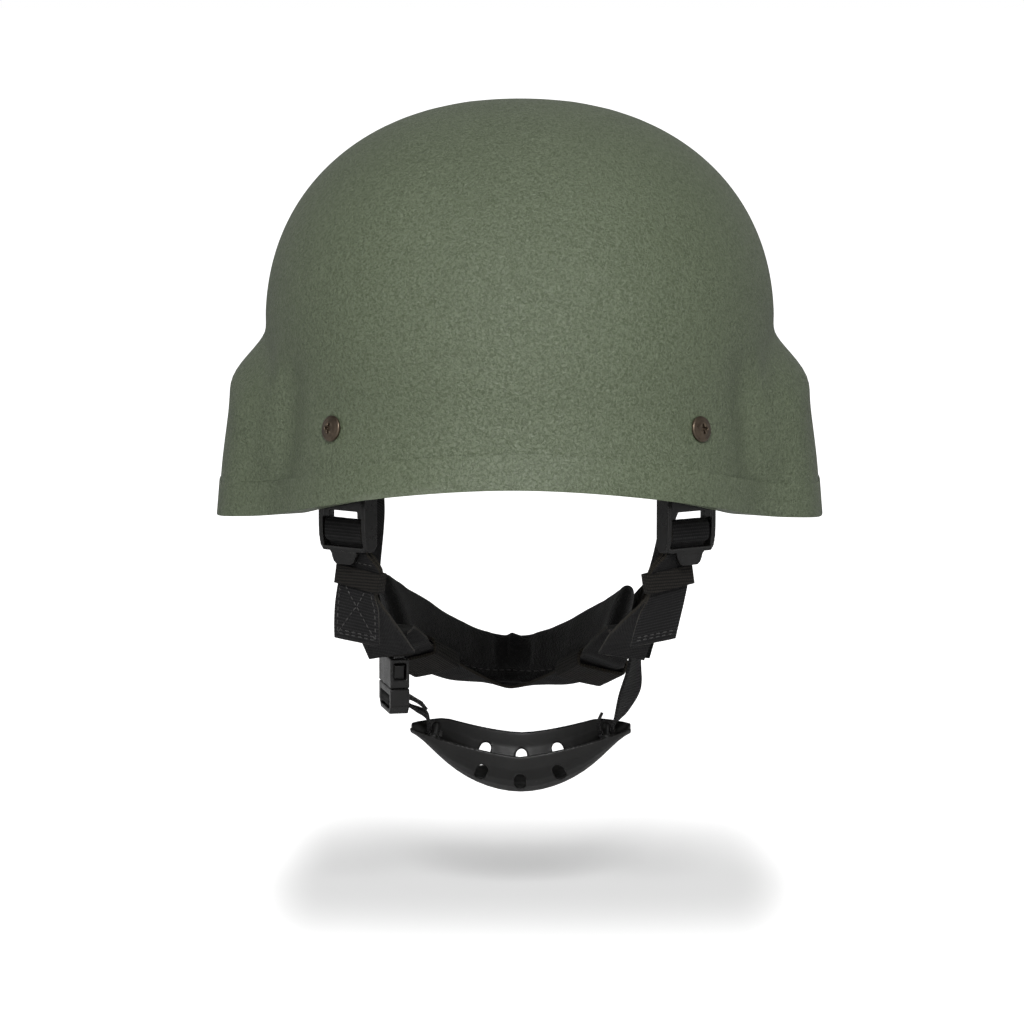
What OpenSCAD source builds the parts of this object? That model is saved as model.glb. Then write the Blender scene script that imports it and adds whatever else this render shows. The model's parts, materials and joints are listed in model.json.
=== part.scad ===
// Combat helmet: moulded shell with a rubber edge, seven pads, and a four-point harness with a chin cup.
// The origin is the middle of the crown pad's underside, where the head rests. +Z is up and -Y is the front.

/* [Shell] */
// Width of the dome at the temples
dome_w = 210; // [200:1:220]
// Reach of the dome ahead of the origin
dome_front = 125; // [119:1:131]
// Reach of the dome behind the origin
dome_rear = 134; // [128:1:140]
// Depth over which the sides round in from the crown
side_round = 93; // [86:1:100]
// Depth over which the brow rounds in from the crown
front_round = 119; // [110:1:126]
// Depth over which the back rounds in from the crown
rear_round = 104; // [96:1:112]
// Thickness of the moulded wall
wall = 8.5; // [7:0.5:10]
// Depth of the rim below the crown, at the brow
front_rim = 144.5; // [140:0.5:148]
// Depth of the rim below the crown, over the ears
ear_rim = 167.5; // [164:0.5:172]
// Depth of the rim below the crown, at the nape
rear_rim = 163; // [159:0.5:166]
// How far the brow flares out at the rim
front_flare = 9; // [5:0.5:11]
// How far the nape flares out at the rim
rear_flare = 11; // [7:0.5:14]
// How far the ear bulge steps out from the dome
ear_step = 13.7; // [10:0.1:15]
// How much further the ear bulge leans out below its step
ear_lean = 3.9; // [2:0.1:5]
// Depth below the crown at which the ear bulge starts
ear_top = 95; // [91:0.5:99]
// Height over which the ear bulge steps out
ear_rise = 19; // [15:0.5:24]

/* [Edge trim] */
// Height of the trim's outer leg
trim_outer = 11.5; // [9:0.5:13]
// Height of the trim's inner leg
trim_inner = 8; // [6:0.5:10]
// Thickness of the trim's legs
trim_t = 1.3; // [1:0.1:1.8]
// Thickness of the trim's lips, where its legs run out on the wall
trim_lip = 0.45; // [0.3:0.05:0.9]
// Thickness of the trim under the rim
trim_under = 2; // [1.5:0.1:2.5]

/* [Screws and nuts] */
// Angle of the front screws from the brow, in degrees
front_screw_a = 36.5; // [35:0.5:38]
// Height of the front screws above the level of the brow's rim
front_screw_up = 17.9; // [17:0.1:20]
// Angle of the rear screws from the brow, in degrees
rear_screw_a = 145; // [142:0.5:148]
// Height of the rear screws above the level of the nape's rim
rear_screw_up = 29; // [26:0.5:32]
// Diameter of the screw head
head_d = 10.4; // [9.4:0.2:12]
// Height of the screw head
head_h = 2.2; // [1.9:0.1:2.8]
// Diameter of the screw shank
shank_d = 4; // [3.5:0.1:4.5]
// Length of the screw shank
shank_l = 8; // [6.5:0.5:8.5]
// Diameter of the nut's barrel
barrel_d = 7; // [6.5:0.1:7.5]
// Diameter of the nut's flange
flange_d = 16; // [14:0.5:18]
// Thickness of the nut's flange
flange_t = 1.2; // [1:0.1:1.6]

/* [Pads] */
// Thickness of each pad
pad_t = 19; // [15:0.5:21]
// Thickness of each hook disc
disc_t = 0.9; // [0.6:0.1:1]
// Radius of each hook disc
disc_r = 19; // [14:1:22]
// Depth below the crown that the crown pad reaches
crown_pad_d = 14; // [10:1:16]
// Half length of the brow and nape pads
long_pad_l = 58; // [50:1:60]
// Half height of the brow and nape pads
long_pad_h = 24; // [20:1:26]
// Half length of the temple and ear pads
side_pad_l = 30; // [26:1:32]
// Half height of the temple and ear pads
side_pad_h = 20; // [17:1:21]

/* [Webbing] */
// Width of the webbing
web_w = 18.4; // [17.6:0.2:19]
// Thickness of the webbing
web_t = 1.4; // [1.1:0.1:1.5]
// Drop of the front straps from the ladderlock bar to their lower end
strap_drop = 77; // [72:1:82]
// Reach of the front straps from the ladderlock back to their lower end
strap_back = 44.5; // [41:0.5:48]
// Length of the strap's hanging tail below the ladderlock bar
tail_drop = 64; // [56:1:70]
// Height of the elastic keepers
keeper_h = 8; // [6:0.5:9]
// Thickness of the elastic keepers
keeper_t = 0.9; // [0.8:0.1:1.2]
// Sideways lean of the lower harness, as it hangs in the photograph
lean = -4; // [-6:0.5:0]

/* [Ladderlocks] */
// Width of the ladderlock
lock_w = 24; // [23.6:0.2:26]
// Angle that each ladderlock faces outwards, in degrees
lock_turn = 36; // [32:1:40]
// Drop of the ladderlock bar below the level of the brow's rim
lock_below = 5; // [4:0.5:7]
// Stand-off of the ladderlock bar from the inside of the wall
lock_inset = 10.8; // [10.6:0.1:11.4]
// Radius of the ladderlock's top bar
bar_r = 2; // [1.7:0.1:2.1]
// Width of the thumb tab
tab_w = 13.6; // [11:0.2:15]
// Length of the thumb tab
tab_l = 5.8; // [4.5:0.1:7]

/* [Nape pad] */
// Thickness of the nape pad
nape_t = 10; // [8:0.5:11]
// Half height of the nape pad at its ends
nape_end_h = 15.5; // [13.5:0.5:16.5]
// Half height of the nape pad at its middle
nape_mid_h = 10; // [8.5:0.5:11]
// Reach of the nape pad from its ends to its middle
nape_back = 80; // [74:1:86]
// Drop of the nape pad from its ends to its middle
nape_drop = 32; // [28:1:36]
// Slope of the nape pad down to the right, in degrees, as it hangs in the photograph
nape_slope = 3; // [0:0.5:4]

/* [Chin set] */
// Half distance between the chin straps at their upper ends
chin_x = 51.3; // [50:0.1:52]
// Thickness of the buckle
buckle_t = 8; // [7.5:0.1:8.4]
// Width of the buckle
buckle_w = 27; // [26:0.5:28]
// Height of the buckle socket
socket_h = 17; // [16.5:0.5:19]
// Height of the buckle plug's body
plug_h = 11.2; // [10.8:0.1:12]
// Length of the prongs
prong_l = 10; // [9.4:0.1:10.2]
// Squeeze of the prongs for each millimetre of travel, in degrees
squeeze = 1; // [0.9:0.05:1.1]
// Angle that the buckle turns outwards, in degrees
buckle_turn = 13; // [8:1:16]
// Length of the chin cup
cup_l = 92; // [88:1:96]
// Breadth of the chin cup
cup_b = 44; // [40:1:48]
// Thickness of the chin cup's wall
cup_t = 1.9; // [1.6:0.1:2.2]
// Depth of the chin cup's keel below its strap bars
cup_keel = 25; // [22:0.5:27]
// Distance of each strap bar from the end of the cup
cup_bar_in = 10.4; // [10.2:0.2:11.2]
// Radius of the cup's strap bars
cup_bar_r = 1.5; // [1.2:0.1:1.7]

/* [Hidden] */

green = [0.33, 0.39, 0.31];
black = [0.10, 0.10, 0.11];
bronze = [0.22, 0.17, 0.13];

left = -1;
right = 1;
columns = 64;
rows = 25;
gap = 0.3;
fit_gap = 0.15;
run_gap = 0.05;
side_full = 2.2;
front_full = 2.04;
plan_full = 2.2;
temple_flare = 1.5;
temple_fade = [100, 70];
flare_top = 118;
front_flare_h = 34;
rear_flare_h = 50;
arc_per_degree = 1.9;
level_h = 10;

// Angles over which the rim drops from the brow to the ear and rises again to the nape
rim_fall = [0, 80];
rim_rise = [105, 60];

// The ear bulge: its upper edge drops and its step fades, each from a place over a length
ear_dip = 12;
dip_front = [12, 45];
dip_rear = [25, 90];
fade_front = [62, 24];
fade_rear = [128, 75];
lean_fade = [12, 55];
ear_square = 1.6;
disc_gap = 0.3;
pad_gap = 0.3;
pad_base = disc_gap + disc_t + pad_gap;
crown_z = wall + pad_base + pad_t;
front_screw_d = front_rim - front_screw_up;
rear_screw_d = rear_rim - rear_screw_up;
lock_d = front_rim + lock_below;
cup_bar_x = cup_l/2 - cup_bar_in;
head_lift = 0.25;

// The webbing lies this far inside the wall where a nut holds it
tab_gap = 1.6;
web_half = web_w/2;
bend_r = web_t/2 + gap + 0.1;
bore_d = barrel_d + 0.2;
eyelet_d = barrel_d + 0.3;
eyelet_t = 0.4;
tab_hole_d = eyelet_d + 1.7;

function smooth(t) = let(s = max(0, min(1, t))) s*s*(3 - 2*s);
function ease(v, fade) = smooth((v - fade[0])/fade[1]);
function unit(v) = v/norm(v);
function mix(a, b, t) = a + (b - a)*t;
function spot(s) = [s[0], s[1], s[2]];
function breadth(s) = [s[3], s[4], s[5]];
function bulged(v, full) = sign(v)*pow(abs(v), full);

// Catmull-Rom curve through stations, each a point and half of its breadth
function curve(p, per) = [for (i = [0:len(p) - 2], k = [0:per - 1])
    let(a = p[max(0, i - 1)], b = p[i], c = p[i + 1], d = p[min(len(p) - 1, i + 2)], t = k/per)
    0.5*(2*b + (c - a)*t + (2*a - 5*b + 4*c - d)*t*t + (3*b - a - 3*c + d)*t*t*t),
    p[len(p) - 1]];

// Surface of the shell: angle round from the brow and depth below the crown
function dome(d, high, full) = pow(1 - pow(1 - min(1, max(0, d/high)), full), 1/full);
function rim_d(a) = let(f = a > 180 ? 360 - a : a)
    front_rim + (ear_rim - front_rim)*ease(f, rim_fall) - (ear_rim - rear_rim)*ease(f, rim_rise);
function ear_out(y, d) = let(
    top = ear_top + ear_dip*(ease(-y, dip_front) + ease(y, dip_rear)))
    (ear_step*smooth((d - top)/ear_rise) + ear_lean*ease(d - top, lean_fade))
    *smooth((y + fade_front[0])/fade_front[1])*smooth((fade_rear[0] - y)/fade_rear[1]);
function outer(a, d) = let(
    ux = sin(a), uy = -cos(a),
    w = dome_w/2*dome(d, side_round, side_full) + temple_flare*ease(d, temple_fade),
    l = uy < 0 ? dome_front*dome(d, front_round, front_full)
            + front_flare*smooth((d - flare_top)/front_flare_h)
        : dome_rear*dome(d, rear_round, side_full)
            + rear_flare*smooth((d - flare_top)/rear_flare_h),
    r = pow(pow(abs(ux)/w, plan_full) + pow(abs(uy)/l, plan_full), -1/plan_full))
    [r*ux + sign(ux)*ear_out(r*uy, d)*min(1, abs(ux)*ear_square), r*uy, crown_z - d];
function normal(a, d) = d < 0.6 ? [0, 0, 1] : unit(cross(
    outer(a, d + 0.5) - outer(a, d - 0.5), outer(a + 0.5, d) - outer(a - 0.5, d)));
// Near the rim the offset turns level, so that the rim's edge is flat
function inside(a, d, off) = let(
    n = normal(a, d), keep = 1 - smooth((d - rim_d(a) + trim_outer + level_h)/level_h))
    outer(a, d) - off*unit([n.x, n.y, n.z*keep]);
shell_rows = concat([0.3], [for (j = [1:rows]) j]);
function row_d(a, j, leg) = j == rows ? rim_d(a) : (rim_d(a) - leg)*pow(j/(rows - 1), 1.4);

// Screw places, the ladderlock's bar and the ends that the harness hangs from
screw_spots = [[front_screw_a, front_screw_d], [360 - front_screw_a, front_screw_d],
    [rear_screw_a, rear_screw_d], [360 - rear_screw_a, rear_screw_d]];
lock_a = 43.2;
nape_share = 1.6;
lock = inside(lock_a, lock_d, wall + lock_inset);
facing = [sin(lock_turn), -cos(lock_turn), 0];
across = [cos(lock_turn), sin(lock_turn), 0];
strap_in = 18.5;
chin_back = 20;
chin_rise = 5;
buckle_below = 20;
cup_below = 40;
junction = lock + [-strap_in, strap_back, -strap_drop];
hang = [chin_x, junction.y + chin_back, junction.z + chin_rise];
pad_offset = [-1.5, 57, 9.5];
nape_end = junction + pad_offset;
nape_mid = nape_end + [-nape_end.x, nape_back, -nape_drop];

// Ladderlock sizes, below the middle of its top bar
plate_top = -bar_r - web_t - 2*gap - 1.6;
plate_low = -14.4;
notch_top = -11.7;
notch_w = 14.4;
middle_r = 1.5;
inner_w = web_w + 1.4;
rail_t = (lock_w - inner_w)/2;
middle_top = -18;
middle_low = -21;
lower_top = -25.9;
frame_low = -27.9;
wrap_r = middle_r + bend_r;

// Joins rings of points into one solid, closed by points, by fans, by a folded strip or on itself
module loft(rings, tips = [], ends = "fan") {
    n = len(rings[0]);
    m = len(rings);
    last = (m - 1)*n;
    around = [for (j = [0:m - (ends == "ring" ? 1 : 2)], i = [0:n - 1])
        let(k = (i + 1)%n, next = ((j + 1)%m)*n)
        each [[j*n + i, next + k, j*n + k], [j*n + i, next + i, next + k]]];
    closed = ends == "ring" ? []
        : ends == "points" ? [for (i = [0:n - 1]) let(k = (i + 1)%n)
            each [[m*n, i, k], [m*n + 1, last + k, last + i]]]
        : ends == "fold" ? [for (i = [0:n/2 - 2]) let(k = n - 1 - i)
            each [[i, i + 1, k], [i + 1, k - 1, k],
                [last + i + 1, last + i, last + k], [last + k - 1, last + i + 1, last + k]]]
        : [for (i = [1:n - 2]) each [[0, i, i + 1], [last, last + i + 1, last + i]]];
    polyhedron(points = concat([for (r = rings) each r], tips), faces = concat(around, closed));
}

// A flat band along stations that give its middle line and half of its breadth
module ribbon(stations, thick) {
    m = len(stations);
    loft([for (i = [0:m - 1]) let(
        c = spot(stations[i]), s = breadth(stations[i]),
        way = spot(stations[min(i + 1, m - 1)]) - spot(stations[max(i - 1, 0)]),
        up = unit(cross(way, s))*thick/2)
        [c + s + up, c - s + up, c - s - up, c + s - up]]);
}

// Moves a station of the right side to either side, and leans the lower harness
function sway(z, share) = lean*share*smooth((lock.z - 25 - z)/45);
function sided(side, s, share = 1, slope = 0) =
    [side*s[0] + sway(s[2], share), s[1], s[2] - side*s[0]*sin(slope)*smooth((lock.z - 25 - s[2])/45),
        side*s[3], s[4], s[5]];
function pad_sided(side, s) = sided(side, s, nape_share, nape_slope);
function lock_station(out, z, half = web_half) =
    concat(lock + out*facing + [0, 0, z], half*across);

module on_shell(a, d) {
    p = outer(a, d);
    n = normal(a, d);
    translate(p) rotate([0, acos(n.z), atan2(n.y, n.x)]) children();
}

module shell() color(green) difference() {
    loft(concat(
        [for (j = shell_rows) [for (i = [columns:-1:1]) let(a = i*360/columns)
            outer(a, row_d(a, j, trim_outer))]],
        [for (k = [rows:-1:0]) let(j = shell_rows[k]) [for (i = [columns:-1:1]) let(a = i*360/columns)
            inside(a, row_d(a, j, trim_inner), wall)]]),
        [[0, 0, crown_z], [0, 0, crown_z - wall]], "points");
    for (s = screw_spots) on_shell(s[0], s[1]) cylinder(d = bore_d, h = 4*wall, center = true, $fn = 48);
}

module edge_trim() color(green) loft([for (i = [0:columns - 1]) let(
    a = i*360/columns, rim = rim_d(a), low = [0, 0, fit_gap], under = [0, 0, fit_gap + trim_under],
    out_leg = -fit_gap, in_leg = wall + fit_gap)
    [inside(a, rim - trim_outer, out_leg - trim_lip), inside(a, rim, out_leg - trim_t) - under,
        inside(a, rim, in_leg + trim_t) - under, inside(a, rim - trim_inner, in_leg + trim_lip),
        inside(a, rim - trim_inner, in_leg), inside(a, rim, in_leg) - low,
        inside(a, rim, out_leg) - low, inside(a, rim - trim_outer, out_leg)]], [], "ring");

module screw() difference() {
    union() {
        translate([0, 0, head_lift]) rotate_extrude($fn = 64) polygon([[0, 0], [head_d/2, 0],
            [head_d/2, 0.9], [head_d/2 - 0.8, 1.5], [head_d/2 - 1.7, head_h - 0.5],
            [head_d/4, head_h - 0.1], [0, head_h]]);
        translate([0, 0, -shank_l]) cylinder(d = shank_d, h = shank_l + 1, $fn = 32);
    }
    for (turn = [0, 90]) rotate([0, 0, turn]) translate([-head_d/5, -0.6, head_h - 1.3])
        cube([head_d*0.4, 1.2, 2]);
}
module screws() color(bronze) for (s = screw_spots) on_shell(s[0], s[1]) screw();

// Depths of the stack at each screw, below the outer surface
tab_z = -(wall + tab_gap + web_t/2);
flange_z = tab_z - web_t/2 - eyelet_t - run_gap;
module post_nut() difference() {
    union() {
        translate([0, 0, flange_z - flange_t]) cylinder(d = flange_d, h = flange_t, $fn = 64);
        translate([0, 0, flange_z - 0.5]) cylinder(d = barrel_d, h = -flange_z - 0.5, $fn = 48);
    }
    translate([0, 0, flange_z - 0.4]) cylinder(d = shank_d + 2*run_gap, h = 40, $fn = 32);
}
module post_nuts() color(bronze) for (s = screw_spots) on_shell(s[0], s[1]) post_nut();

module grommet() difference() {
    union() {
        for (z = [tab_z - web_t/2 - eyelet_t, tab_z + web_t/2])
            translate([0, 0, z]) cylinder(d = barrel_d + 6, h = eyelet_t, $fn = 48);
        translate([0, 0, tab_z - web_t/2 - eyelet_t]) cylinder(d = tab_hole_d - 2*run_gap,
            h = web_t + 2*eyelet_t, $fn = 48);
    }
    translate([0, 0, tab_z - 5]) cylinder(d = eyelet_d, h = 10, $fn = 48);
}
module grommets() color(bronze) for (s = screw_spots) on_shell(s[0], s[1]) grommet();

// Rings over a rounded footprint: each profile entry is a share of the size and of the thickness
pad_profile = [[0.35, 0], [0.7, 0], [0.93, 0.02], [1, 0.14], [1.02, 0.45], [1, 0.8],
    [0.93, 0.94], [0.7, 1], [0.35, 1]];
disc_profile = [[0.5, 0], [1, 0], [1, 1], [0.5, 1]];
module wall_pad(a, d, half_l, half_h, base, thick, profile, sides) {
    function at(off, u, v) = inside(a + u/arc_per_degree, d + v, wall + base + off);
    loft([for (p = profile) [for (i = [0:sides - 1]) let(t = i*360/sides)
        at(p[1]*thick, p[0]*half_l*bulged(cos(t), 0.6), p[0]*half_h*bulged(sin(t), 0.6))]],
        [at(0, 0, 0), at(thick, 0, 0)], "points");
}
module crown_form(reach, base, thick, profile, sides) {
    loft([for (p = profile) [for (i = [sides:-1:1])
        inside(i*360/sides, reach*p[0]*p[0], wall + base + p[1]*thick)]],
        [[0, 0, crown_z - wall - base], [0, 0, crown_z - wall - base - thick]], "points");
}
crown_disc_d = 1.2;
brow_pad_d = 88;
nape_pad_d = 96;
temple_pad = [66, 75];
ear_pad = [112, 77];
module crown_pad() color(black) crown_form(crown_pad_d, pad_base, pad_t, pad_profile, 28);
module brow_pad() color(black)
    wall_pad(0, brow_pad_d, long_pad_l, long_pad_h, pad_base, pad_t, pad_profile, 28);
module nape_shell_pad() color(black)
    wall_pad(180, nape_pad_d, long_pad_l, long_pad_h, pad_base, pad_t, pad_profile, 28);
module side_pad(side, place) color(black)
    wall_pad(side > 0 ? place[0] : 360 - place[0], place[1], side_pad_l, side_pad_h,
        pad_base, pad_t, pad_profile, 24);
module left_temple_pad() side_pad(left, temple_pad);
module right_temple_pad() side_pad(right, temple_pad);
module left_ear_pad() side_pad(left, ear_pad);
module right_ear_pad() side_pad(right, ear_pad);
module hook_discs() color(black) {
    crown_form(crown_disc_d, disc_gap, disc_t, disc_profile, 16);
    for (p = [[0, brow_pad_d], [180, nape_pad_d], temple_pad, ear_pad,
        [360 - temple_pad[0], temple_pad[1]], [360 - ear_pad[0], ear_pad[1]]])
        wall_pad(p[0], p[1], disc_r, disc_r, disc_gap, disc_t, disc_profile, 12);
}

// Stations of a webbing tab that lies under a nut, from its upper end downwards
function tab_stations(a, d, rise, fall) = let(
    n = normal(a, d), up = unit([0, 0, 1] - n.z*n), wide = cross(n, up)*-web_half,
    c = outer(a, d) + tab_z*n)
    [for (v = [rise, 0, -tab_flat, -fall]) concat(c + v*up, wide)];
tab_flat = 7;
anchor_r = bar_r + bend_r;
anchor_stations = concat(
    tab_stations(front_screw_a, front_screw_d, 9, 9.5),
    [lock_station(5, 5), lock_station(anchor_r + 0.4, 2)],
    [for (t = [0:30:180]) lock_station(anchor_r*cos(t), -anchor_r*sin(t))],
    [lock_station(-anchor_r + 0.5, 3), lock_station(0.5, 7), lock_station(2.2, 11)]);
module anchor(side) color(black) difference() {
    ribbon([for (s = curve(anchor_stations, 3)) sided(side, s, 0)], web_t);
    mirror([side < 0 ? 1 : 0, 0, 0]) on_shell(front_screw_a, front_screw_d) translate([0, 0, tab_z - 5])
        cylinder(d = tab_hole_d, h = 10, $fn = 48);
}
module left_anchor() anchor(left);
module right_anchor() anchor(right);

// The side rail's outline: outwards and up
rail_outline = [[-3.9, 2.2], [1, 2.4], [2.3, 0.5], [3.2, -4], [3.9, -10], [4, -17], [3.6, -22],
    [2.8, -26], [1.2, frame_low], [-2.2, frame_low], [-3.9, -25.5]];
module ladderlock(side) color(black)
    mirror([side < 0 ? 1 : 0, 0, 0]) translate(lock) rotate([0, 0, lock_turn]) {
    for (x = [-lock_w/2, lock_w/2 - rail_t]) translate([x, 0, 0])
        rotate([90, 0, 90]) linear_extrude(rail_t) polygon([for (p = rail_outline) [-p[0], p[1]]]);
    rotate([0, 90, 0]) cylinder(r = bar_r, h = inner_w + 1, center = true, $fn = 48);
    difference() {
        translate([-inner_w/2 - 0.5, -3, plate_low]) cube([inner_w + 1, 3, plate_top - plate_low]);
        translate([-notch_w/2, -4, plate_low - 1]) cube([notch_w, 5, notch_top - plate_low + 1]);
    }
    for (z = [middle_top, middle_low]) translate([0, 0, z]) rotate([0, 90, 0])
        cylinder(r = middle_r, h = inner_w + 1, center = true, $fn = 32);
    translate([-inner_w/2 - 0.5, -middle_r, middle_low])
        cube([inner_w + 1, 2*middle_r, middle_top - middle_low]);
    translate([-inner_w/2 - 0.5, -3.2, frame_low]) cube([inner_w + 1, 3, lower_top - frame_low]);
    translate([0, -0.5, frame_low + 0.5]) rotate([90, 0, 0]) linear_extrude(2.4) polygon([
        [-tab_w/2, 0], [-tab_w/2 + 0.9, -tab_l/2], [-tab_w/2 + 1.8, -tab_l + 1], [-tab_w/2 + 3, -tab_l],
        [tab_w/2 - 3, -tab_l], [tab_w/2 - 1.8, -tab_l + 1], [tab_w/2 - 0.9, -tab_l/2], [tab_w/2, 0]]);
}
module left_ladderlock() ladderlock(left);
module right_ladderlock() ladderlock(right);

// The keeper is an elastic band round the strap and its tail; both run through it side by side
keeper_turn = 30;
keeper_tilt = 9;
keeper_offset = [-5.6, 1.5, -39.1];
keeper_spot = lock + keeper_offset;
layer_gap = 0.35;
keeper_gap = 0.8;
pressed = web_half - 0.4;
keeper_wide = [cos(keeper_tilt)*cos(keeper_turn), cos(keeper_tilt)*sin(keeper_turn), sin(keeper_tilt)];
keeper_deep = [-sin(keeper_turn), cos(keeper_turn), 0];
function keeper_station(back, up) = concat(
    keeper_spot + back*keeper_deep + up*cross(keeper_wide, keeper_deep), pressed*keeper_wide);
module keeper(side) color(black) translate([sway(keeper_spot.z, strap_share(side)), 0, 0])
    mirror([side < 0 ? 1 : 0, 0, 0]) translate(keeper_spot) rotate([0, -keeper_tilt, keeper_turn]) {
        inner = [2*pressed + 2*keeper_gap, 2*web_t + 3*layer_gap];
        difference() {
            cube([inner.x + 2*keeper_t, inner.y + 2*keeper_t, keeper_h], center = true);
            cube([inner.x, inner.y, keeper_h + 1], center = true);
        }
    }

// The front strap: lower end, up behind the ladderlock, over its middle bar, and down as the tail
function strap_share(side) = side < 0 ? 0.75 : 1.7;
layer = (web_t + layer_gap)/2;
keeper_reach = keeper_h/2 + 0.6;
standing_out = -3.2;
tail_out = -1.15;
standing_stations = [
    concat(junction, [9.4, 0, -1.4]),
    concat(lock + [-14.4, 29, -65.5], [9.2, 1.6, 0.2]),
    concat(lock + [-9.6, 13.5, -54], [8.5, 3.6, 1.4]),
    keeper_station(layer, -keeper_reach - 0.8),
    keeper_station(layer, keeper_reach),
    lock_station(standing_out - 0.1, -28.6),
    lock_station(standing_out, -25),
    lock_station(standing_out, middle_low)];
wrap_stations = [for (t = [180:-30:0]) lock_station(wrap_r*cos(t), middle_top + wrap_r*sin(t))];
tail_stations = [
    lock_station(wrap_r, middle_low + 0.5),
    lock_station(wrap_r*0.85, middle_low - wrap_r*0.62),
    lock_station(0.1, -24),
    lock_station(tail_out, lower_top + 0.3),
    lock_station(tail_out, -29),
    keeper_station(-layer, keeper_reach),
    keeper_station(-layer, -keeper_reach),
    concat(lock + [-5.4, -1.4, -50], [8.7, 2.9, 1.8]),
    concat(lock + [-6, -3.6, -57], [9, 1.4, 1.8]),
    concat(lock + [-6.6, -4.6, -tail_drop], [9, 0.5, 1.8])];
module front_strap(side) color(black) {
    stations = concat(standing_stations, wrap_stations, tail_stations);
    ribbon([for (s = curve(stations, 2)) sided(side, s, strap_share(side))], web_t);
}
module left_front_strap() front_strap(left);
module right_front_strap() front_strap(right);
module left_keeper() keeper(left);
module right_keeper() keeper(right);

// The nape pad: middle line and half height, from one end round to the other
nape_half = [
    concat(nape_end, nape_end_h*[0.32, 0.05, 0.95]),
    concat(nape_end + [-1, 21, -5], nape_end_h*[0.3, 0.1, 0.95]),
    concat(nape_end + [-10.5, 45, -14.5], mix(nape_end_h, nape_mid_h, 0.3)*[0.2, 0.15, 0.96]),
    concat([20, nape_mid.y - 12, nape_mid.z + 5.5], mix(nape_end_h, nape_mid_h, 0.7)*[0.1, 0.16, 0.98])];
nape_middle = [concat(nape_mid, nape_mid_h*[0, 0.18, 0.98])];
function nape_line() = curve(concat(
    [for (s = nape_half) pad_sided(left, s)],
    [for (s = nape_middle) pad_sided(right, s)],
    [for (i = [len(nape_half) - 1:-1:0]) pad_sided(right, nape_half[i])]), 4);
nape_sides = 14;
// Both take a place along the pad from -1 to 1
function pinch(u) = 1 - 0.36*exp(-pow(u*12, 2));
function taper(u) = 0.55 + 0.45*sqrt(max(0, 1 - pow(abs(u), 14)));
module nape_pad() color(black) {
    line = nape_line();
    m = len(line);
    loft([for (i = [0:m - 1]) let(
        u = 2*i/(m - 1) - 1,
        c = spot(line[i]), up = breadth(line[i])*(0.94 + 0.06*pinch(u))*(0.85 + 0.15*taper(u)),
        way = spot(line[min(i + 1, m - 1)]) - spot(line[max(i - 1, 0)]),
        out = unit(cross(way, up))*nape_t/2*pinch(u)*taper(u))
        [for (k = [nape_sides:-1:1]) let(t = k*360/nape_sides)
            c + up*bulged(sin(t), 0.75) + out*bulged(cos(t), 0.8)]],
        [spot(line[0]) + [0, -1, 0], spot(line[m - 1]) + [0, -1, 0]], "points");
}

// The nape strap runs from one front strap's end, under the pad and up to the other
under_pad = web_t/2 + gap + 0.5;
function below(s, more) = spot(s) - breadth(s)*(1 + (under_pad + more)/norm(breadth(s)));
over_chin = [
    concat(junction + [-0.2, 1.8, -0.6], [9, 0, -0.6]),
    concat([hang.x, hang.y - 11, hang.z + 2.4], [9.1, 0, 0.4]),
    concat([hang.x - 1.5, hang.y, hang.z + 3.2], [9.1, 0, 0.8]),
    concat([hang.x - 2.5, hang.y + 12, hang.z + 2.2], [9.1, 0.4, 0.4])];
// Under the pad the strap lies square to the pad's lower edge
pad_run = concat(nape_half, nape_middle);
function under(i, more, ahead) = let(
    s = pad_run[i], way = spot(pad_run[i + 1]) - spot(pad_run[max(0, i - 1)]))
    concat(below(s, more) + [0, ahead, 0], web_half*unit(cross(way, breadth(s))));
along_pad = [under(0, 0.6, 3), under(1, 0, 0), under(2, 0, 0), under(3, 0, 0)];
function strap_side(side) = concat(
    [for (s = over_chin) sided(side, s)], [for (s = along_pad) pad_sided(side, s)]);
module nape_strap() color(black) {
    ends = strap_side(right);
    middle = pad_sided(right, concat(below(nape_middle[0], 0), [0, web_half, 0]));
    ribbon(curve(concat(strap_side(left), [middle], [for (i = [len(ends) - 1:-1:0]) ends[i]]), 3), web_t);
}

// A nape loop is a short piece of webbing folded round the pad's lower edge and the strap
loop_share = 0.22;
loop_in = nape_t/2 + web_t/2 + 1;
loop_low = under_pad + web_t/2 + 1.85;
loop_half = 12;
loop_side = web_half + 1.8;
function loop_path(h) = let(side = [[loop_in - 0.8, 5.5], [loop_in + 0.6, 3], [loop_side, 0.6],
    [loop_side - 0.3, -loop_low], [loop_side - 3.4, -loop_low - 1]])
    concat([for (p = side) [-p[0], p[1] - h]], [for (i = [4:-1:0]) [side[i][0], side[i][1] - h]]);
module nape_loop(side) color(black) {
    line = nape_line();
    i = round((len(line) - 1)*(side < 0 ? loop_share : 1 - loop_share));
    c = spot(line[i]);
    up = unit(breadth(line[i]));
    way = unit(spot(line[i + 1]) - spot(line[i - 1]));
    out = unit(cross(way, up));
    path = loop_path(norm(breadth(line[i])));
    ribbon([for (p = curve([for (q = path) [q[0], q[1], 0, 0, 0, 0]], 2))
        concat(c + out*p[0] + up*p[1], way*loop_half)], web_t);
}
module left_nape_loop() nape_loop(left);
module right_nape_loop() nape_loop(right);

// A place on the nape pad's outer face, from a station of the pad and the way to the next one
function pad_place(s, way, along, out, up) = let(b = unit(breadth(s)), n = unit(cross(way, b)))
    spot(s) + unit(way)*along + n*out + b*up;
end_way = spot(nape_half[2]) - spot(nape_half[0]);
tab_out = nape_t/2 + web_t/2 + gap + 0.2;
tab_out_2 = tab_out + web_t + gap;

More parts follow.
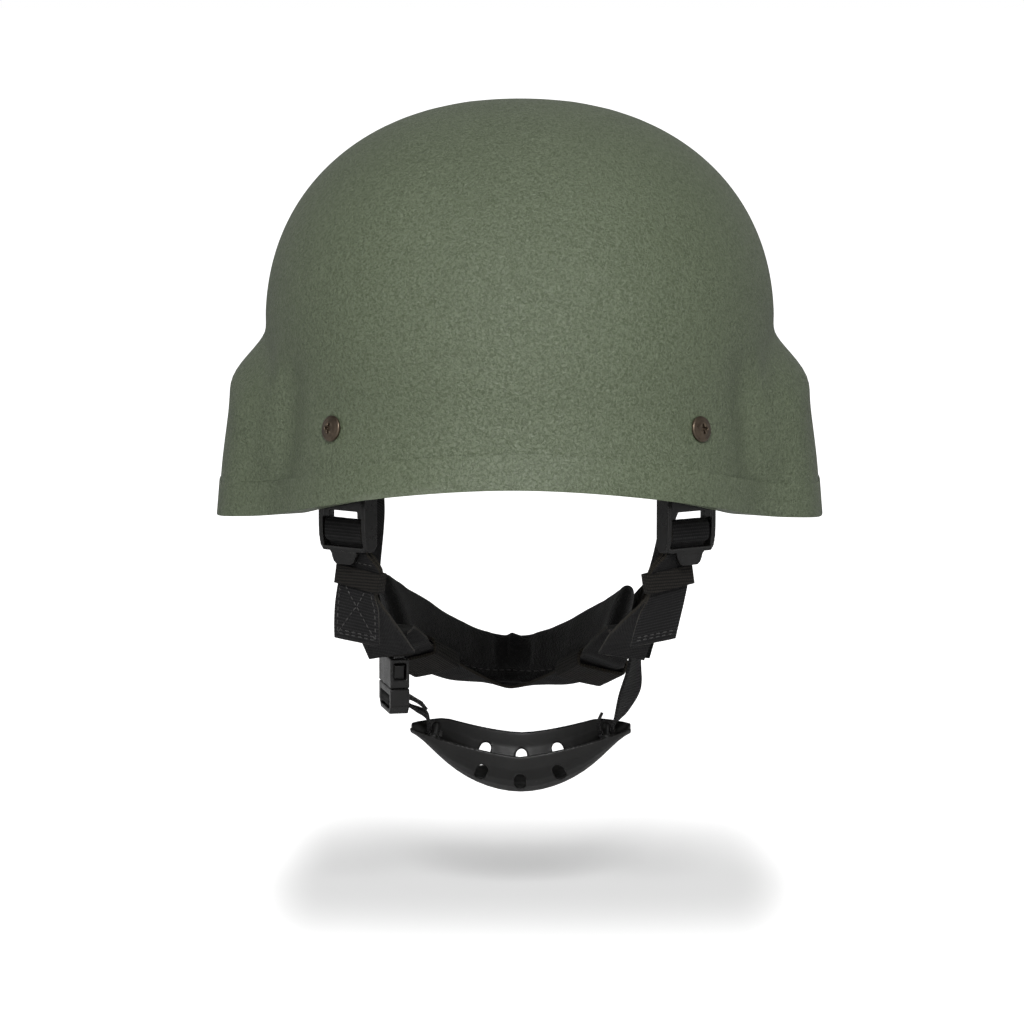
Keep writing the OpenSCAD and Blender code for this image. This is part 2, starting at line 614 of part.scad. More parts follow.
// The rear tab is a piece of webbing sewn along the pad's outer face, where the rear strap ends
tab_run = [34, -4];
tab_start = [-4, 9.5];
tab_wide = let(b = unit(breadth(nape_half[1])), w = unit(end_way))
    web_half*unit(b*tab_run.x - w*tab_run.y);
rear_tab_stations = [
    concat(pad_place(nape_half[1], end_way, tab_start.x, tab_out, tab_start.y), tab_wide),
    concat(pad_place(nape_half[1], end_way, tab_start.x + tab_run.x/2, tab_out + 0.4,
        tab_start.y + tab_run.y/2), tab_wide),
    concat(pad_place(nape_half[1], end_way, tab_start.x + tab_run.x, tab_out - 0.6,
        tab_start.y + tab_run.y), tab_wide)];
module rear_tab(side) color(black)
    ribbon([for (s = curve(rear_tab_stations, 2)) pad_sided(side, s)], web_t);
module left_rear_tab() rear_tab(left);
module right_rear_tab() rear_tab(right);

// The rear strap: from under the rear nut, past the rim, down and forwards to the rear tab
rear_high = inside(rear_screw_a, rim_d(rear_screw_a), wall + tab_gap);
rear_low = pad_place(nape_half[1], end_way, 6, tab_out_2 + 0.4, 9);
rear_stations = concat(
    tab_stations(rear_screw_a, rear_screw_d, 9, 10.5),
    [concat(rear_high + [-3.8, -9, 0], [-5.8, 6.6, -2]),
        concat(mix(rear_high, rear_low, 0.5) + [-1, -3, -1], [-3, 6.4, -5.6]),
        concat(mix(rear_high, rear_low, 0.8) + [1, 0, 1.6], [-2.8, 6.2, -5.9]),
        concat(rear_low, [-2.8, 6, -6])]);
module rear_strap(side) color(black) difference() {
    ribbon([for (s = curve(rear_stations, 4)) pad_sided(side, s)], web_t);
    mirror([side < 0 ? 1 : 0, 0, 0]) on_shell(rear_screw_a, rear_screw_d) translate([0, 0, tab_z - 5])
        cylinder(d = tab_hole_d, h = 10, $fn = 48);
}
module left_rear_strap() rear_strap(left);
module right_rear_strap() rear_strap(right);

// Buckle: the socket's mouth is its zero level, its width lies fore and aft
mouth = [-chin_x - 0.7, hang.y, hang.z - buckle_below];
socket_wall = 1.9;
cavity_t = buckle_t - 2.8;
cavity_w = buckle_w - 2*socket_wall;
top_bar_r = 1.4;
roof_t = 1.3;
roof = socket_h - 2*top_bar_r - web_t - 2*gap - 0.1 - roof_t;
window_low = 3.6;
window_high = roof - 0.4;
module in_buckle() translate(mouth) rotate([0, 0, buckle_turn]) children();
module buckle_socket() color(black) in_buckle() difference() {
    union() {
        translate([-buckle_t/2, -buckle_w/2, 0]) cube([buckle_t, buckle_w, roof + roof_t]);
        for (y = [-buckle_w/2 + 0.5, buckle_w/2 - 3]) translate([-2, y, roof])
            cube([4, 2.5, socket_h - roof - top_bar_r]);
        translate([0, 0, socket_h - top_bar_r]) rotate([90, 0, 0])
            cylinder(r = top_bar_r, h = buckle_w - 1, center = true, $fn = 32);
    }
    translate([-cavity_t/2, -cavity_w/2, -1]) cube([cavity_t, cavity_w, roof + 1]);
    translate([-cavity_t/2, -buckle_w, window_low])
        cube([cavity_t, 2*buckle_w, window_high - window_low]);
}

slot_low = -9.3;
slot_high = -3.3;
pin_r = 0.6;
pin_spot = [-2, 0, (slot_low + slot_high)/2];
chamfer = 3.6;
tongue_w = 6;
module buckle_plug() color(black) in_buckle() {
    difference() {
        rotate([90, 0, 90]) translate([0, 0, -buckle_t/2]) linear_extrude(buckle_t) polygon([
            [-buckle_w/2, -gap], [-buckle_w/2, -plug_h + chamfer], [-buckle_w/2 + chamfer, -plug_h],
            [buckle_w/2 - chamfer, -plug_h], [buckle_w/2, -plug_h + chamfer], [buckle_w/2, -gap]]);
        translate([-buckle_t, -web_half - 0.9, slot_low])
            cube([2*buckle_t, web_w + 1.8, slot_high - slot_low]);
    }
    translate(pin_spot) rotate([90, 0, 0]) cylinder(r = pin_r, h = web_w + 2.8, center = true, $fn = 24);
    translate([-cavity_t/2 + 0.4, -tongue_w/2, -1]) cube([cavity_t - 0.8, tongue_w, roof - 1]);
}

// A prong's outer face swells by what the squeeze takes back on the way out of the window
prong_y = cavity_w/2 - gap - 0.05;
prong_t = 2.2;
barb = [for (i = [0:6]) let(u = mix(window_low + gap, prong_l - 0.8, i/6))
    [prong_y + u*(u - window_low)*squeeze*PI/180, u]];
module prong(side) color(black) in_buckle() scale([1, side, 1])
    rotate([90, 0, 90]) translate([0, 0, -cavity_t/2 + 0.4]) linear_extrude(cavity_t - 0.8)
    polygon(concat([[prong_y, gap]], barb, [[prong_y - 0.6, prong_l], [prong_y - prong_t + 0.4, prong_l],
        [prong_y - prong_t, prong_l - 0.8], [prong_y - prong_t, gap]]));
module front_prong() prong(left);
module rear_prong() prong(right);

// Chin straps: each wraps a bar at both ends
function buckle_station(x, z) = let(c = cos(buckle_turn), s = sin(buckle_turn))
    [mouth.x + x*c, mouth.y + x*s, mouth.z + z, -web_half*s, web_half*c, 0];
bar_bend = top_bar_r + bend_r;
strap_top = 1.1;
upper_end = hang.z + strap_top - mouth.z;
upper_stations = concat(
    [buckle_station(-1.6, upper_end)],
    [for (t = [180:45:360]) buckle_station(bar_bend*cos(t), socket_h - top_bar_r + bar_bend*sin(t))],
    [buckle_station(1.6, upper_end)]);
module upper_chin_strap() color(black) ribbon(curve(upper_stations, 2), web_t);

cup_spot = [0.6, hang.y, hang.z - cup_below];
cup_bend = cup_bar_r + bend_r + 0.1;
// The webbing bunches up where it runs through the cup's narrow ends
bunched = 3.2;
function bar_station(side, t) = [cup_spot.x + side*(cup_bar_x + cup_bend*cos(t)), cup_spot.y,
    cup_spot.z + cup_bend*sin(t), 0, web_half - bunched, 0];
pin_bend = pin_r + bend_r;
lower_stations = concat(
    [bar_station(left, 150)],
    [for (t = [180:45:360]) bar_station(left, t)],
    [[cup_spot.x - cup_bar_x - 3.4, cup_spot.y, cup_spot.z + 6.5, -0.6, web_half, 0]],
    [buckle_station(8.6, pin_spot.z - 4.6), buckle_station(4.6, pin_spot.z - pin_bend - 0.2),
        buckle_station(2, pin_spot.z - pin_bend)],
    [for (t = [270:-45:90]) buckle_station(pin_spot.x + pin_bend*cos(t), pin_spot.z + pin_bend*sin(t))],
    [buckle_station(4.6, pin_spot.z + pin_bend - 0.4), buckle_station(9.8, pin_spot.z - 1.6)],
    [[cup_spot.x - cup_bar_x - 0.6, cup_spot.y, cup_spot.z + 7.6, -0.6, web_half, 0]]);
module lower_chin_strap() color(black) ribbon(curve(lower_stations, 2), web_t);

right_stations = concat(
    [[hang.x - 2.6, hang.y, hang.z + strap_top, 2.4, 8.7, 0],
        [hang.x - 3.6, hang.y, hang.z - 11, 2.4, 8.9, 0],
        [hang.x - 5.4, hang.y, hang.z - 23, 4.2, 8.2, 0],
        [hang.x - 9.2, hang.y, hang.z - 33, 2.4, 8.9, 0],
        [cup_spot.x + cup_bar_x + cup_bend + 0.5, cup_spot.y, cup_spot.z + 3.4, 1, web_half - 0.7, 0]],
    [for (t = [0:-45:-180]) bar_station(right, t)],
    [[cup_spot.x + cup_bar_x - 3, cup_spot.y, cup_spot.z + 5, 0.6, web_half, 0],
        [cup_spot.x + cup_bar_x - 0.6, cup_spot.y, cup_spot.z + 11, 2, 9, 0]]);
module right_chin_strap() color(black) ribbon(curve(right_stations, 3), web_t);

// Chin cup: a boat form, with its rim, its keel and its breadth as functions along its length
cup_steps = 24;
cup_sides = 12;
near_rim = -7;
far_rim = -4;
tip_rim = 2.5;
tip_half = 6.5;
horn = 0.09;
function cup_half(u) = tip_half + (cup_b/2 - tip_half)*pow(1 - pow(abs(u), 2.4), 0.7);
function cup_floor(u) = -cup_keel + (cup_keel - 0.2)*(pow(abs(u), 1.95) + horn*sin(180*pow(abs(u), 5)));
function cup_rim(u, near) = near ? mix(near_rim, tip_rim, pow(abs(u), 1.2))
    : mix(far_rim, tip_rim + 0.5, pow(min(1, abs(u)/0.7), 1.6)) - 0.5*max(0, (abs(u) - 0.7)/0.3);
function cup_point(u, v, in) = let(
    edge = cup_rim(u, v < 0), low = cup_floor(u) + in)
    [u*cup_l/2*(1 - in*0.008), (cup_half(u) - in)*sin(v*90),
        edge + (low - edge)*pow(max(0, cos(v*90)), 0.8)];
vent_pitch = 16;
vent_w = 4.6;
vent_turn = 24;
// Drop of the middle vent, rise of its neighbours and straight length, on the near and far sides
near_vent = [18, 4, 2.6];
far_vent = [15.5, 3, 4.4];
module cup_vents() {
    for (x = [-1, 0, 1], side = [-1, 1]) {
        vent = side < 0 ? near_vent : far_vent;
        translate([x*vent_pitch, side*cup_b/2, abs(x)*vent[1] - vent[0]]) rotate([0, -x*vent_turn, 0]) {
            cube([vent_w, 0.6*cup_b, vent[2]], center = true);
            for (z = [-vent[2]/2, vent[2]/2]) translate([0, 0, z]) rotate([90, 0, 0])
                cylinder(d = vent_w, h = 0.6*cup_b, center = true, $fn = 24);
        }
    }
}
module chin_cup() color(black) translate(cup_spot) {
    difference() {
        loft([for (i = [0:cup_steps]) let(u = 2*i/cup_steps - 1, w = sin(u*90)*0.35 + u*0.65)
            concat([for (k = [0:cup_sides]) cup_point(w, 2*k/cup_sides - 1, 0)],
                [for (k = [cup_sides:-1:0]) cup_point(w, 2*k/cup_sides - 1, cup_t)])], [], "fold");
        cup_vents();
    }
    for (x = [-cup_bar_x, cup_bar_x]) translate([x, 0, 0]) rotate([90, 0, 0])
        cylinder(r = cup_bar_r, h = 2*cup_half(cup_bar_x*2/cup_l) - 2.4, center = true, $fn = 32);
}

shell();
edge_trim();
screws();
post_nuts();
grommets();
hook_discs();
crown_pad();
brow_pad();
nape_shell_pad();
left_temple_pad();
right_temple_pad();
left_ear_pad();
right_ear_pad();
left_anchor();
right_anchor();
left_ladderlock();
right_ladderlock();
left_front_strap();
right_front_strap();
left_keeper();
right_keeper();
nape_pad();
nape_strap();
left_nape_loop();
right_nape_loop();
left_rear_tab();
right_rear_tab();
left_rear_strap();
right_rear_strap();
upper_chin_strap();
buckle_socket();
buckle_plug();
front_prong();
rear_prong();
lower_chin_strap();
right_chin_strap();
chin_cup();
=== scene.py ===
import json
import math
from bisect import bisect_right

import bmesh
import bpy
import numpy
from mathutils import Matrix, Vector, noise
from mathutils.bvhtree import BVHTree
from mathutils.kdtree import KDTree


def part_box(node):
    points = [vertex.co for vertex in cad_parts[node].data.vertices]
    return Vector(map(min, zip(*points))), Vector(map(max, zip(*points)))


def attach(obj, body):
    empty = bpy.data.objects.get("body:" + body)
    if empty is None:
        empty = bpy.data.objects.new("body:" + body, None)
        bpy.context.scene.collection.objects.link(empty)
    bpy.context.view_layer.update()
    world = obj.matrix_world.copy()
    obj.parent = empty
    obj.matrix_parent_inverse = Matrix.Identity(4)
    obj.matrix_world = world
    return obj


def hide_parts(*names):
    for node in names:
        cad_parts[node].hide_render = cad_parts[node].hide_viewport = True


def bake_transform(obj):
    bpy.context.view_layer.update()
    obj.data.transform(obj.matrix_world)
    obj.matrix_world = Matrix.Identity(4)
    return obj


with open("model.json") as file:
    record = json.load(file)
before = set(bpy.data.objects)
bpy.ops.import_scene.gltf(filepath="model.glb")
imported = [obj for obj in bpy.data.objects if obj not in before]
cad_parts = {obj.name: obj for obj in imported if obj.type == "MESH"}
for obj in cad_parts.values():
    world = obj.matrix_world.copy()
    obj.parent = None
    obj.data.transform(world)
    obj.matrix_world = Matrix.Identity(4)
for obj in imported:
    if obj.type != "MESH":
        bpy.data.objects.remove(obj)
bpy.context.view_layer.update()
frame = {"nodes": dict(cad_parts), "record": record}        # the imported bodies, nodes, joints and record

mm = 0.001
up = Vector((0, 0, 1))
scene = bpy.context.scene
scene.view_settings.view_transform = "Standard"
bodyOfNode = {part: body for body, parts in frame["record"]["behaviour"]["bodies"].items() for part in parts}
slotOfNode = {part["node"]: part["material_slot"] for part in frame["record"]["subparts"]}


# Camera at the photograph's angle
cameraSet = {"aim": Vector((-3.3, 0, -142.4)) * mm, "distance": 1.8, "down": 7.0, "turn": 1.0,
             "perPixel": 0.4165 * mm, "image": 1024, "sensor": 36.0}


def makeCamera():
    s = cameraSet
    down = math.radians(s["down"])
    turn = math.radians(s["turn"])
    forward = Vector((-math.sin(turn) * math.cos(down), math.cos(turn) * math.cos(down), -math.sin(down)))
    data = bpy.data.cameras.new("camera")
    data.sensor_width = s["sensor"]
    data.lens = s["sensor"] * s["distance"] / (s["perPixel"] * s["image"])
    data.clip_end = 60
    camera = bpy.data.objects.new("camera", data)
    scene.collection.objects.link(camera)
    camera.location = s["aim"] - forward * s["distance"]
    camera.rotation_euler = forward.to_track_quat("-Z", "Y").to_euler()
    scene.camera = camera


makeCamera()
print("camera placed")


# Shader helpers
def feed(tree, socket, value):
    if isinstance(value, bpy.types.NodeSocket):
        tree.links.new(value, socket)
    else:
        socket.default_value = value


def addNode(tree, kind, inputs=None, **settings):
    made = tree.nodes.new("ShaderNode" + kind)
    for key, value in settings.items():
        setattr(made, key, value)
    for key, value in (inputs or {}).items():
        feed(tree, made.inputs[key], value)
    return made


def maths(tree, operation, first, second=0.0, clamp=False):
    return addNode(tree, "Math", {0: first, 1: second}, operation=operation, use_clamp=clamp).outputs[0]


def newGroup(name, inputs, outputs):
    group = bpy.data.node_groups.new(name, "ShaderNodeTree")
    kinds = {"float": "NodeSocketFloat", "vector": "NodeSocketVector", "color": "NodeSocketColor"}
    for label, kind in inputs:
        group.interface.new_socket(label, in_out="INPUT", socket_type=kinds[kind])
    for label, kind in outputs:
        group.interface.new_socket(label, in_out="OUTPUT", socket_type=kinds[kind])
    return group, group.nodes.new("NodeGroupInput"), group.nodes.new("NodeGroupOutput")


def fillGroup(tree, group, inputs):
    made = tree.nodes.new("ShaderNodeGroup")
    made.node_tree = group
    for key, value in inputs.items():
        feed(tree, made.inputs[key], value)
    return made


def mixColours(tree, share, first, second):
    made = tree.nodes.new("ShaderNodeMix")
    made.data_type = "RGBA"
    for index, value in ((0, share), (6, first), (7, second)):
        feed(tree, made.inputs[index], value)
    return made.outputs[2]


# Colour that drifts softly between two tones over the surface
def driftGroup():
    group, enter, leave = newGroup("colour drift", [("Vector", "vector"), ("Scale", "float"),
                                                    ("Deep", "color"), ("Pale", "color")],
                                   [("Color", "color"), ("Mask", "float")])
    cloud = addNode(group, "TexNoise", {"Vector": enter.outputs["Vector"], "Scale": enter.outputs["Scale"],
                                        "Detail": 4.0, "Roughness": 0.55})
    spread = addNode(group, "MapRange", {"Value": cloud.outputs["Fac"], "From Min": 0.3, "From Max": 0.7})
    mixed = mixColours(group, spread.outputs[0], enter.outputs["Deep"], enter.outputs["Pale"])
    group.links.new(mixed, leave.inputs["Color"])
    group.links.new(spread.outputs[0], leave.inputs["Mask"])
    return group


# Wrinkled grain of sprayed paint or moulded plastic; its second output marks the grain's hollows, where the
# shell paint puts painted shade
def grainGroup():
    group, enter, leave = newGroup("grain", [("Vector", "vector"), ("Scale", "float")],
                                   [("Height", "float"), ("Painted pit shade", "float")])
    coarse = addNode(group, "TexNoise", {"Vector": enter.outputs["Vector"], "Scale": enter.outputs["Scale"],
                                         "Detail": 2.0, "Roughness": 0.55, "Distortion": 0.8})
    finer = maths(group, "MULTIPLY", enter.outputs["Scale"], 0.42)
    patch = addNode(group, "TexVoronoi", {"Vector": enter.outputs["Vector"], "Scale": finer, "Smoothness": 0.8},
                    feature="SMOOTH_F1")
    both = maths(group, "ADD", maths(group, "MULTIPLY", coarse.outputs["Fac"], 0.75),
                 maths(group, "MULTIPLY", patch.outputs["Distance"], 0.35))
    pitShadeMask = addNode(group, "MapRange", {"Value": coarse.outputs["Fac"], "From Min": 0.62, "From Max": 0.36})
    group.links.new(both, leave.inputs["Height"])
    group.links.new(pitShadeMask.outputs[0], leave.inputs["Painted pit shade"])
    return group


# Rubbed edges with a painted highlight: the mask is strongest on sharp convex corners, broken up by noise
def wearAndHighlightGroup():
    group, enter, leave = newGroup("edge wear and painted highlight", [("Vector", "vector"), ("Reach", "float")], [("Mask", "float")])
    shape = group.nodes.new("ShaderNodeNewGeometry")
    sharp = addNode(group, "MapRange", {"Value": shape.outputs["Pointiness"], "From Min": 0.52,
                                        "From Max": 0.62})
    broken = addNode(group, "TexNoise", {"Vector": enter.outputs["Vector"], "Scale": 260.0, "Detail": 4.0})
    spread = addNode(group, "MapRange", {"Value": broken.outputs["Fac"], "From Min": 0.35, "From Max": 0.6})
    mask = maths(group, "MULTIPLY", maths(group, "MULTIPLY", sharp.outputs[0], spread.outputs[0]),
                 enter.outputs["Reach"], clamp=True)
    group.links.new(mask, leave.inputs["Mask"])
    return group


# Woven ribs across a band: Along and Across are counts of threads for each metre. The second output marks the
# raised threads, which carry a painted highlight
def weaveGroup():
    group, enter, leave = newGroup("ribbed weave", [("Vector", "vector"), ("Along", "float"),
                                                    ("Across", "float")],
                                   [("Height", "float"), ("ThreadHighlight", "float")])
    parts = addNode(group, "SeparateXYZ", {"Vector": enter.outputs["Vector"]})
    ribs = maths(group, "MULTIPLY", parts.outputs["X"], enter.outputs["Along"])
    threads = maths(group, "MULTIPLY", parts.outputs["Y"], enter.outputs["Across"])
    shifted = maths(group, "ADD", threads, maths(group, "MULTIPLY", maths(group, "FLOOR", ribs), 0.5))
    crest = maths(group, "ABSOLUTE", maths(group, "SINE", maths(group, "MULTIPLY", ribs, math.pi)))
    strand = maths(group, "ABSOLUTE", maths(group, "SINE", maths(group, "MULTIPLY", shifted, math.pi)))
    height = maths(group, "MULTIPLY", maths(group, "POWER", crest, 0.6),
                   maths(group, "ADD", maths(group, "MULTIPLY", strand, 0.45), 0.55))
    fuzz = addNode(group, "TexNoise", {"Vector": enter.outputs["Vector"], "Scale": 2600.0, "Detail": 2.0})
    worn = maths(group, "ADD", height, maths(group, "MULTIPLY", fuzz.outputs["Fac"], 0.25))
    group.links.new(worn, leave.inputs["Height"])
    shown = maths(group, "MULTIPLY", maths(group, "POWER", crest, 2.0),
                  maths(group, "ADD", maths(group, "MULTIPLY", strand, 0.6), 0.4))
    group.links.new(shown, leave.inputs["ThreadHighlight"])
    return group


# Knitted or napped cloth: short soft lumps with a finer fuzz on them
def napGroup():
    group, enter, leave = newGroup("nap", [("Vector", "vector"), ("Scale", "float")],
                                   [("Height", "float"), ("Tips", "float")])
    lumps = addNode(group, "TexVoronoi", {"Vector": enter.outputs["Vector"], "Scale": enter.outputs["Scale"]},
                    feature="SMOOTH_F1")
    fine = addNode(group, "TexNoise", {"Vector": enter.outputs["Vector"],
                                       "Scale": maths(group, "MULTIPLY", enter.outputs["Scale"], 1.7),
                                       "Detail": 4.0, "Roughness": 0.7})
    height = maths(group, "ADD", maths(group, "MULTIPLY", lumps.outputs["Distance"], -0.6), fine.outputs["Fac"])
    tips = addNode(group, "MapRange", {"Value": fine.outputs["Fac"], "From Min": 0.55, "From Max": 0.72})
    group.links.new(height, leave.inputs["Height"])
    group.links.new(tips.outputs[0], leave.inputs["Tips"])
    return group


colourDrift = driftGroup()
paintGrain = grainGroup()
edgeWearAndHighlight = wearAndHighlightGroup()
ribbedWeave = weaveGroup()
clothNap = napGroup()


def newMaterial(name, roughness, **sockets):
    material = bpy.data.materials.new(name)
    material.use_nodes = True
    tree = material.node_tree
    shader = tree.nodes["Principled BSDF"]
    shader.inputs["Roughness"].default_value = roughness
    for key, value in sockets.items():
        shader.inputs[key.replace("_", " ")].default_value = value
    return material, tree, shader


def bumpInto(tree, shader, height, strength, distance):
    bump = addNode(tree, "Bump", {"Height": height, "Strength": strength, "Distance": distance})
    tree.links.new(bump.outputs["Normal"], shader.inputs["Normal"])


def objectPlace(tree):
    return tree.nodes.new("ShaderNodeTexCoord").outputs["Object"]


def weavePlace(tree):
    return addNode(tree, "UVMap", uv_map="weave").outputs["UV"]


# A pale tone: on webbing it paints a highlight on the raised threads, on napped cloth it is paler lint on the
# fibre tips
def highlightAndLintTone(pale):
    return tuple(4.5 * c for c in pale[:3]) + (1,)


# Painted shell: flat green with a wrinkled texture, painted shade in the grain's hollows, and edges a little
# paler from wear and a painted highlight
paintSet = {"deep": (0.130, 0.158, 0.099, 1), "pale": (0.147, 0.177, 0.113, 1),
            "rubbedAndLit": (0.17, 0.19, 0.14, 1), "pitShade": (0.066, 0.085, 0.045, 1), "grain": 1000.0,
            "roughness": 0.46}


def paintMaterial(name, grainDepth):
    s = paintSet
    material, tree, shader = newMaterial(name, s["roughness"], Specular_IOR_Level=0.42)
    place = objectPlace(tree)
    drift = fillGroup(tree, colourDrift, {"Vector": place, "Scale": 14.0, "Deep": s["deep"], "Pale": s["pale"]})
    grain = fillGroup(tree, paintGrain, {"Vector": place, "Scale": s["grain"]})
    wearAndHighlight = fillGroup(tree, edgeWearAndHighlight, {"Vector": place, "Reach": 0.55})
    # The grain's hollows are darkened towards a dark green: painted shade
    pitShadeMask = maths(tree, "MULTIPLY", grain.outputs["Painted pit shade"], 0.85)
    pitShaded = mixColours(tree, pitShadeMask, drift.outputs["Color"], s["pitShade"])
    # Sharp edges turn paler: partly wear, partly a painted highlight
    color = mixColours(tree, wearAndHighlight.outputs["Mask"], pitShaded, s["rubbedAndLit"])
    tree.links.new(color, shader.inputs["Base Color"])
    rough = addNode(tree, "MapRange", {"Value": grain.outputs["Height"], "From Min": 0.2, "From Max": 0.8,
                                       "To Min": s["roughness"] + 0.08, "To Max": s["roughness"] - 0.08})
    tree.links.new(rough.outputs[0], shader.inputs["Roughness"])
    bumpInto(tree, shader, grain.outputs["Height"], 0.75, grainDepth)
    return material


# Dark coated steel of the screws, nuts and grommets
def bronzeMaterial():
    material, tree, shader = newMaterial("dark bronze coat", 0.32, Metallic=0.85)
    place = objectPlace(tree)
    drift = fillGroup(tree, colourDrift, {"Vector": place, "Scale": 240.0, "Deep": (0.075, 0.057, 0.042, 1),
                                          "Pale": (0.14, 0.108, 0.078, 1)})
    wearAndHighlight = fillGroup(tree, edgeWearAndHighlight, {"Vector": place, "Reach": 0.8})
    # Sharp edges turn paler: partly wear, partly a painted highlight
    color = mixColours(tree, wearAndHighlight.outputs["Mask"], drift.outputs["Color"], (0.22, 0.17, 0.12, 1))
    tree.links.new(color, shader.inputs["Base Color"])
    rough = addNode(tree, "MapRange", {"Value": drift.outputs["Mask"], "To Min": 0.26, "To Max": 0.42})
    tree.links.new(rough.outputs[0], shader.inputs["Roughness"])
    grain = fillGroup(tree, paintGrain, {"Vector": place, "Scale": 2600.0})
    bumpInto(tree, shader, grain.outputs["Height"], 0.3, 0.05 * mm)
    return material


# Ribbed webbing: the pattern follows the strap's own length and breadth, with a painted highlight on its raised
# threads
def webbingMaterial(name, deep, pale, along, across, depth, sheen):
    material, tree, shader = newMaterial(name, 0.86, Sheen_Weight=sheen, Sheen_Roughness=0.45,
                                         Specular_IOR_Level=0.25)
    shader.inputs["Sheen Tint"].default_value = (0.75, 0.74, 0.72, 1)
    place = weavePlace(tree)
    weave = fillGroup(tree, ribbedWeave, {"Vector": place, "Along": along, "Across": across})
    drift = fillGroup(tree, colourDrift, {"Vector": place, "Scale": 90.0, "Deep": deep, "Pale": pale})
    # The raised threads take the pale tone as a painted highlight
    threadHighlight = addNode(tree, "MapRange", {"Value": weave.outputs["ThreadHighlight"], "To Min": 0.0, "To Max": 0.9})
    color = mixColours(tree, threadHighlight.outputs[0], drift.outputs["Color"], highlightAndLintTone(pale))
    lint = addNode(tree, "TexNoise", {"Vector": place, "Scale": 700.0, "Detail": 3.0})
    specks = addNode(tree, "MapRange", {"Value": lint.outputs["Fac"], "From Min": 0.68, "From Max": 0.78,
                                        "To Max": 0.35})
    dusted = mixColours(tree, specks.outputs[0], color, (0.09, 0.085, 0.078, 1))
    tree.links.new(dusted, shader.inputs["Base Color"])
    bumpInto(tree, shader, weave.outputs["Height"], 0.9, depth)
    return material


# Brushed or napped cloth of the pads
def napMaterial(name, deep, pale, scale, depth, sheen):
    material, tree, shader = newMaterial(name, 0.95, Sheen_Weight=sheen, Sheen_Roughness=0.6,
                                         Specular_IOR_Level=0.15)
    place = objectPlace(tree)
    nap = fillGroup(tree, clothNap, {"Vector": place, "Scale": scale})
    drift = fillGroup(tree, colourDrift, {"Vector": place, "Scale": 45.0, "Deep": deep, "Pale": pale})
    tips = maths(tree, "MULTIPLY", nap.outputs["Tips"], 0.7)
    color = mixColours(tree, tips, drift.outputs["Color"], highlightAndLintTone(pale))
    tree.links.new(color, shader.inputs["Base Color"])
    bumpInto(tree, shader, nap.outputs["Height"], 0.8, depth)
    return material


# Moulded plastic, satin or soft
def plasticMaterial(name, deep, pale, roughness, grain, depth):
    material, tree, shader = newMaterial(name, roughness, Specular_IOR_Level=0.4)
    place = objectPlace(tree)
    drift = fillGroup(tree, colourDrift, {"Vector": place, "Scale": 120.0, "Deep": deep, "Pale": pale})
    texture = fillGroup(tree, paintGrain, {"Vector": place, "Scale": grain})
    wearAndHighlight = fillGroup(tree, edgeWearAndHighlight, {"Vector": place, "Reach": 0.6})
    # Sharp edges turn paler: partly wear, partly a painted highlight
    color = mixColours(tree, wearAndHighlight.outputs["Mask"], drift.outputs["Color"], (0.035, 0.034, 0.032, 1))
    tree.links.new(color, shader.inputs["Base Color"])
    rough = addNode(tree, "MapRange", {"Value": drift.outputs["Mask"], "To Min": roughness - 0.06,
                                       "To Max": roughness + 0.08})
    tree.links.new(rough.outputs[0], shader.inputs["Roughness"])
    bumpInto(tree, shader, texture.outputs["Height"], 0.5, depth)
    return material


# Sewing thread, twisted
def threadMaterial():
    material, tree, shader = newMaterial("sewing thread", 0.6, Sheen_Weight=0.3, Specular_IOR_Level=0.4)
    place = objectPlace(tree)
    drift = fillGroup(tree, colourDrift, {"Vector": place, "Scale": 900.0, "Deep": (0.014, 0.014, 0.014, 1),
                                          "Pale": (0.048, 0.046, 0.043, 1)})
    tree.links.new(drift.outputs["Color"], shader.inputs["Base Color"])
    grain = fillGroup(tree, paintGrain, {"Vector": place, "Scale": 4200.0})
    bumpInto(tree, shader, grain.outputs["Height"], 0.6, 0.08 * mm)
    return material


shellPaint = paintMaterial("textured green paint", 1.3 * mm)
trimPaint = paintMaterial("painted rubber edge", 0.9 * mm)
bronzeCoat = bronzeMaterial()
strapWeb = webbingMaterial("ribbed webbing", (0.0030, 0.0030, 0.0033, 1), (0.0058, 0.0057, 0.0059, 1),
                           1 / (1.25 * mm), 1 / (1.1 * mm), 0.3 * mm, 0.06)
clothWeb = webbingMaterial("fine webbing", (0.0034, 0.0034, 0.0040, 1), (0.0050, 0.0050, 0.0058, 1),
                           1 / (0.7 * mm), 1 / (0.8 * mm), 0.06 * mm, 0.05)
elasticWeb = webbingMaterial("woven elastic", (0.0026, 0.0023, 0.0020, 1), (0.0050, 0.0044, 0.0037, 1),
                             1 / (1.25 * mm), 1 / (1.6 * mm), 0.3 * mm, 0.05)
tanEdge = webbingMaterial("raw webbing edge", (0.0060, 0.0052, 0.0040, 1), (0.0110, 0.0094, 0.0070, 1),
                          1 / (0.6 * mm), 1 / (0.6 * mm), 0.05 * mm, 0.1)
fleeceCloth = napMaterial("fleece", (0.0035, 0.0035, 0.0037, 1), (0.0085, 0.0083, 0.0080, 1),
                          800.0, 0.7 * mm, 0.15)
padCloth = napMaterial("brushed knit", (0.010, 0.010, 0.010, 1), (0.016, 0.016, 0.016, 1),
                       1500.0, 0.2 * mm, 0.1)
hookTape = napMaterial("hook tape", (0.010, 0.010, 0.010, 1), (0.020, 0.020, 0.020, 1),
                       1100.0, 0.5 * mm, 0.05)
acetal = plasticMaterial("satin acetal", (0.0045, 0.0043, 0.0041, 1), (0.0080, 0.0076, 0.0072, 1), 0.27, 1900.0,
                         0.04 * mm)
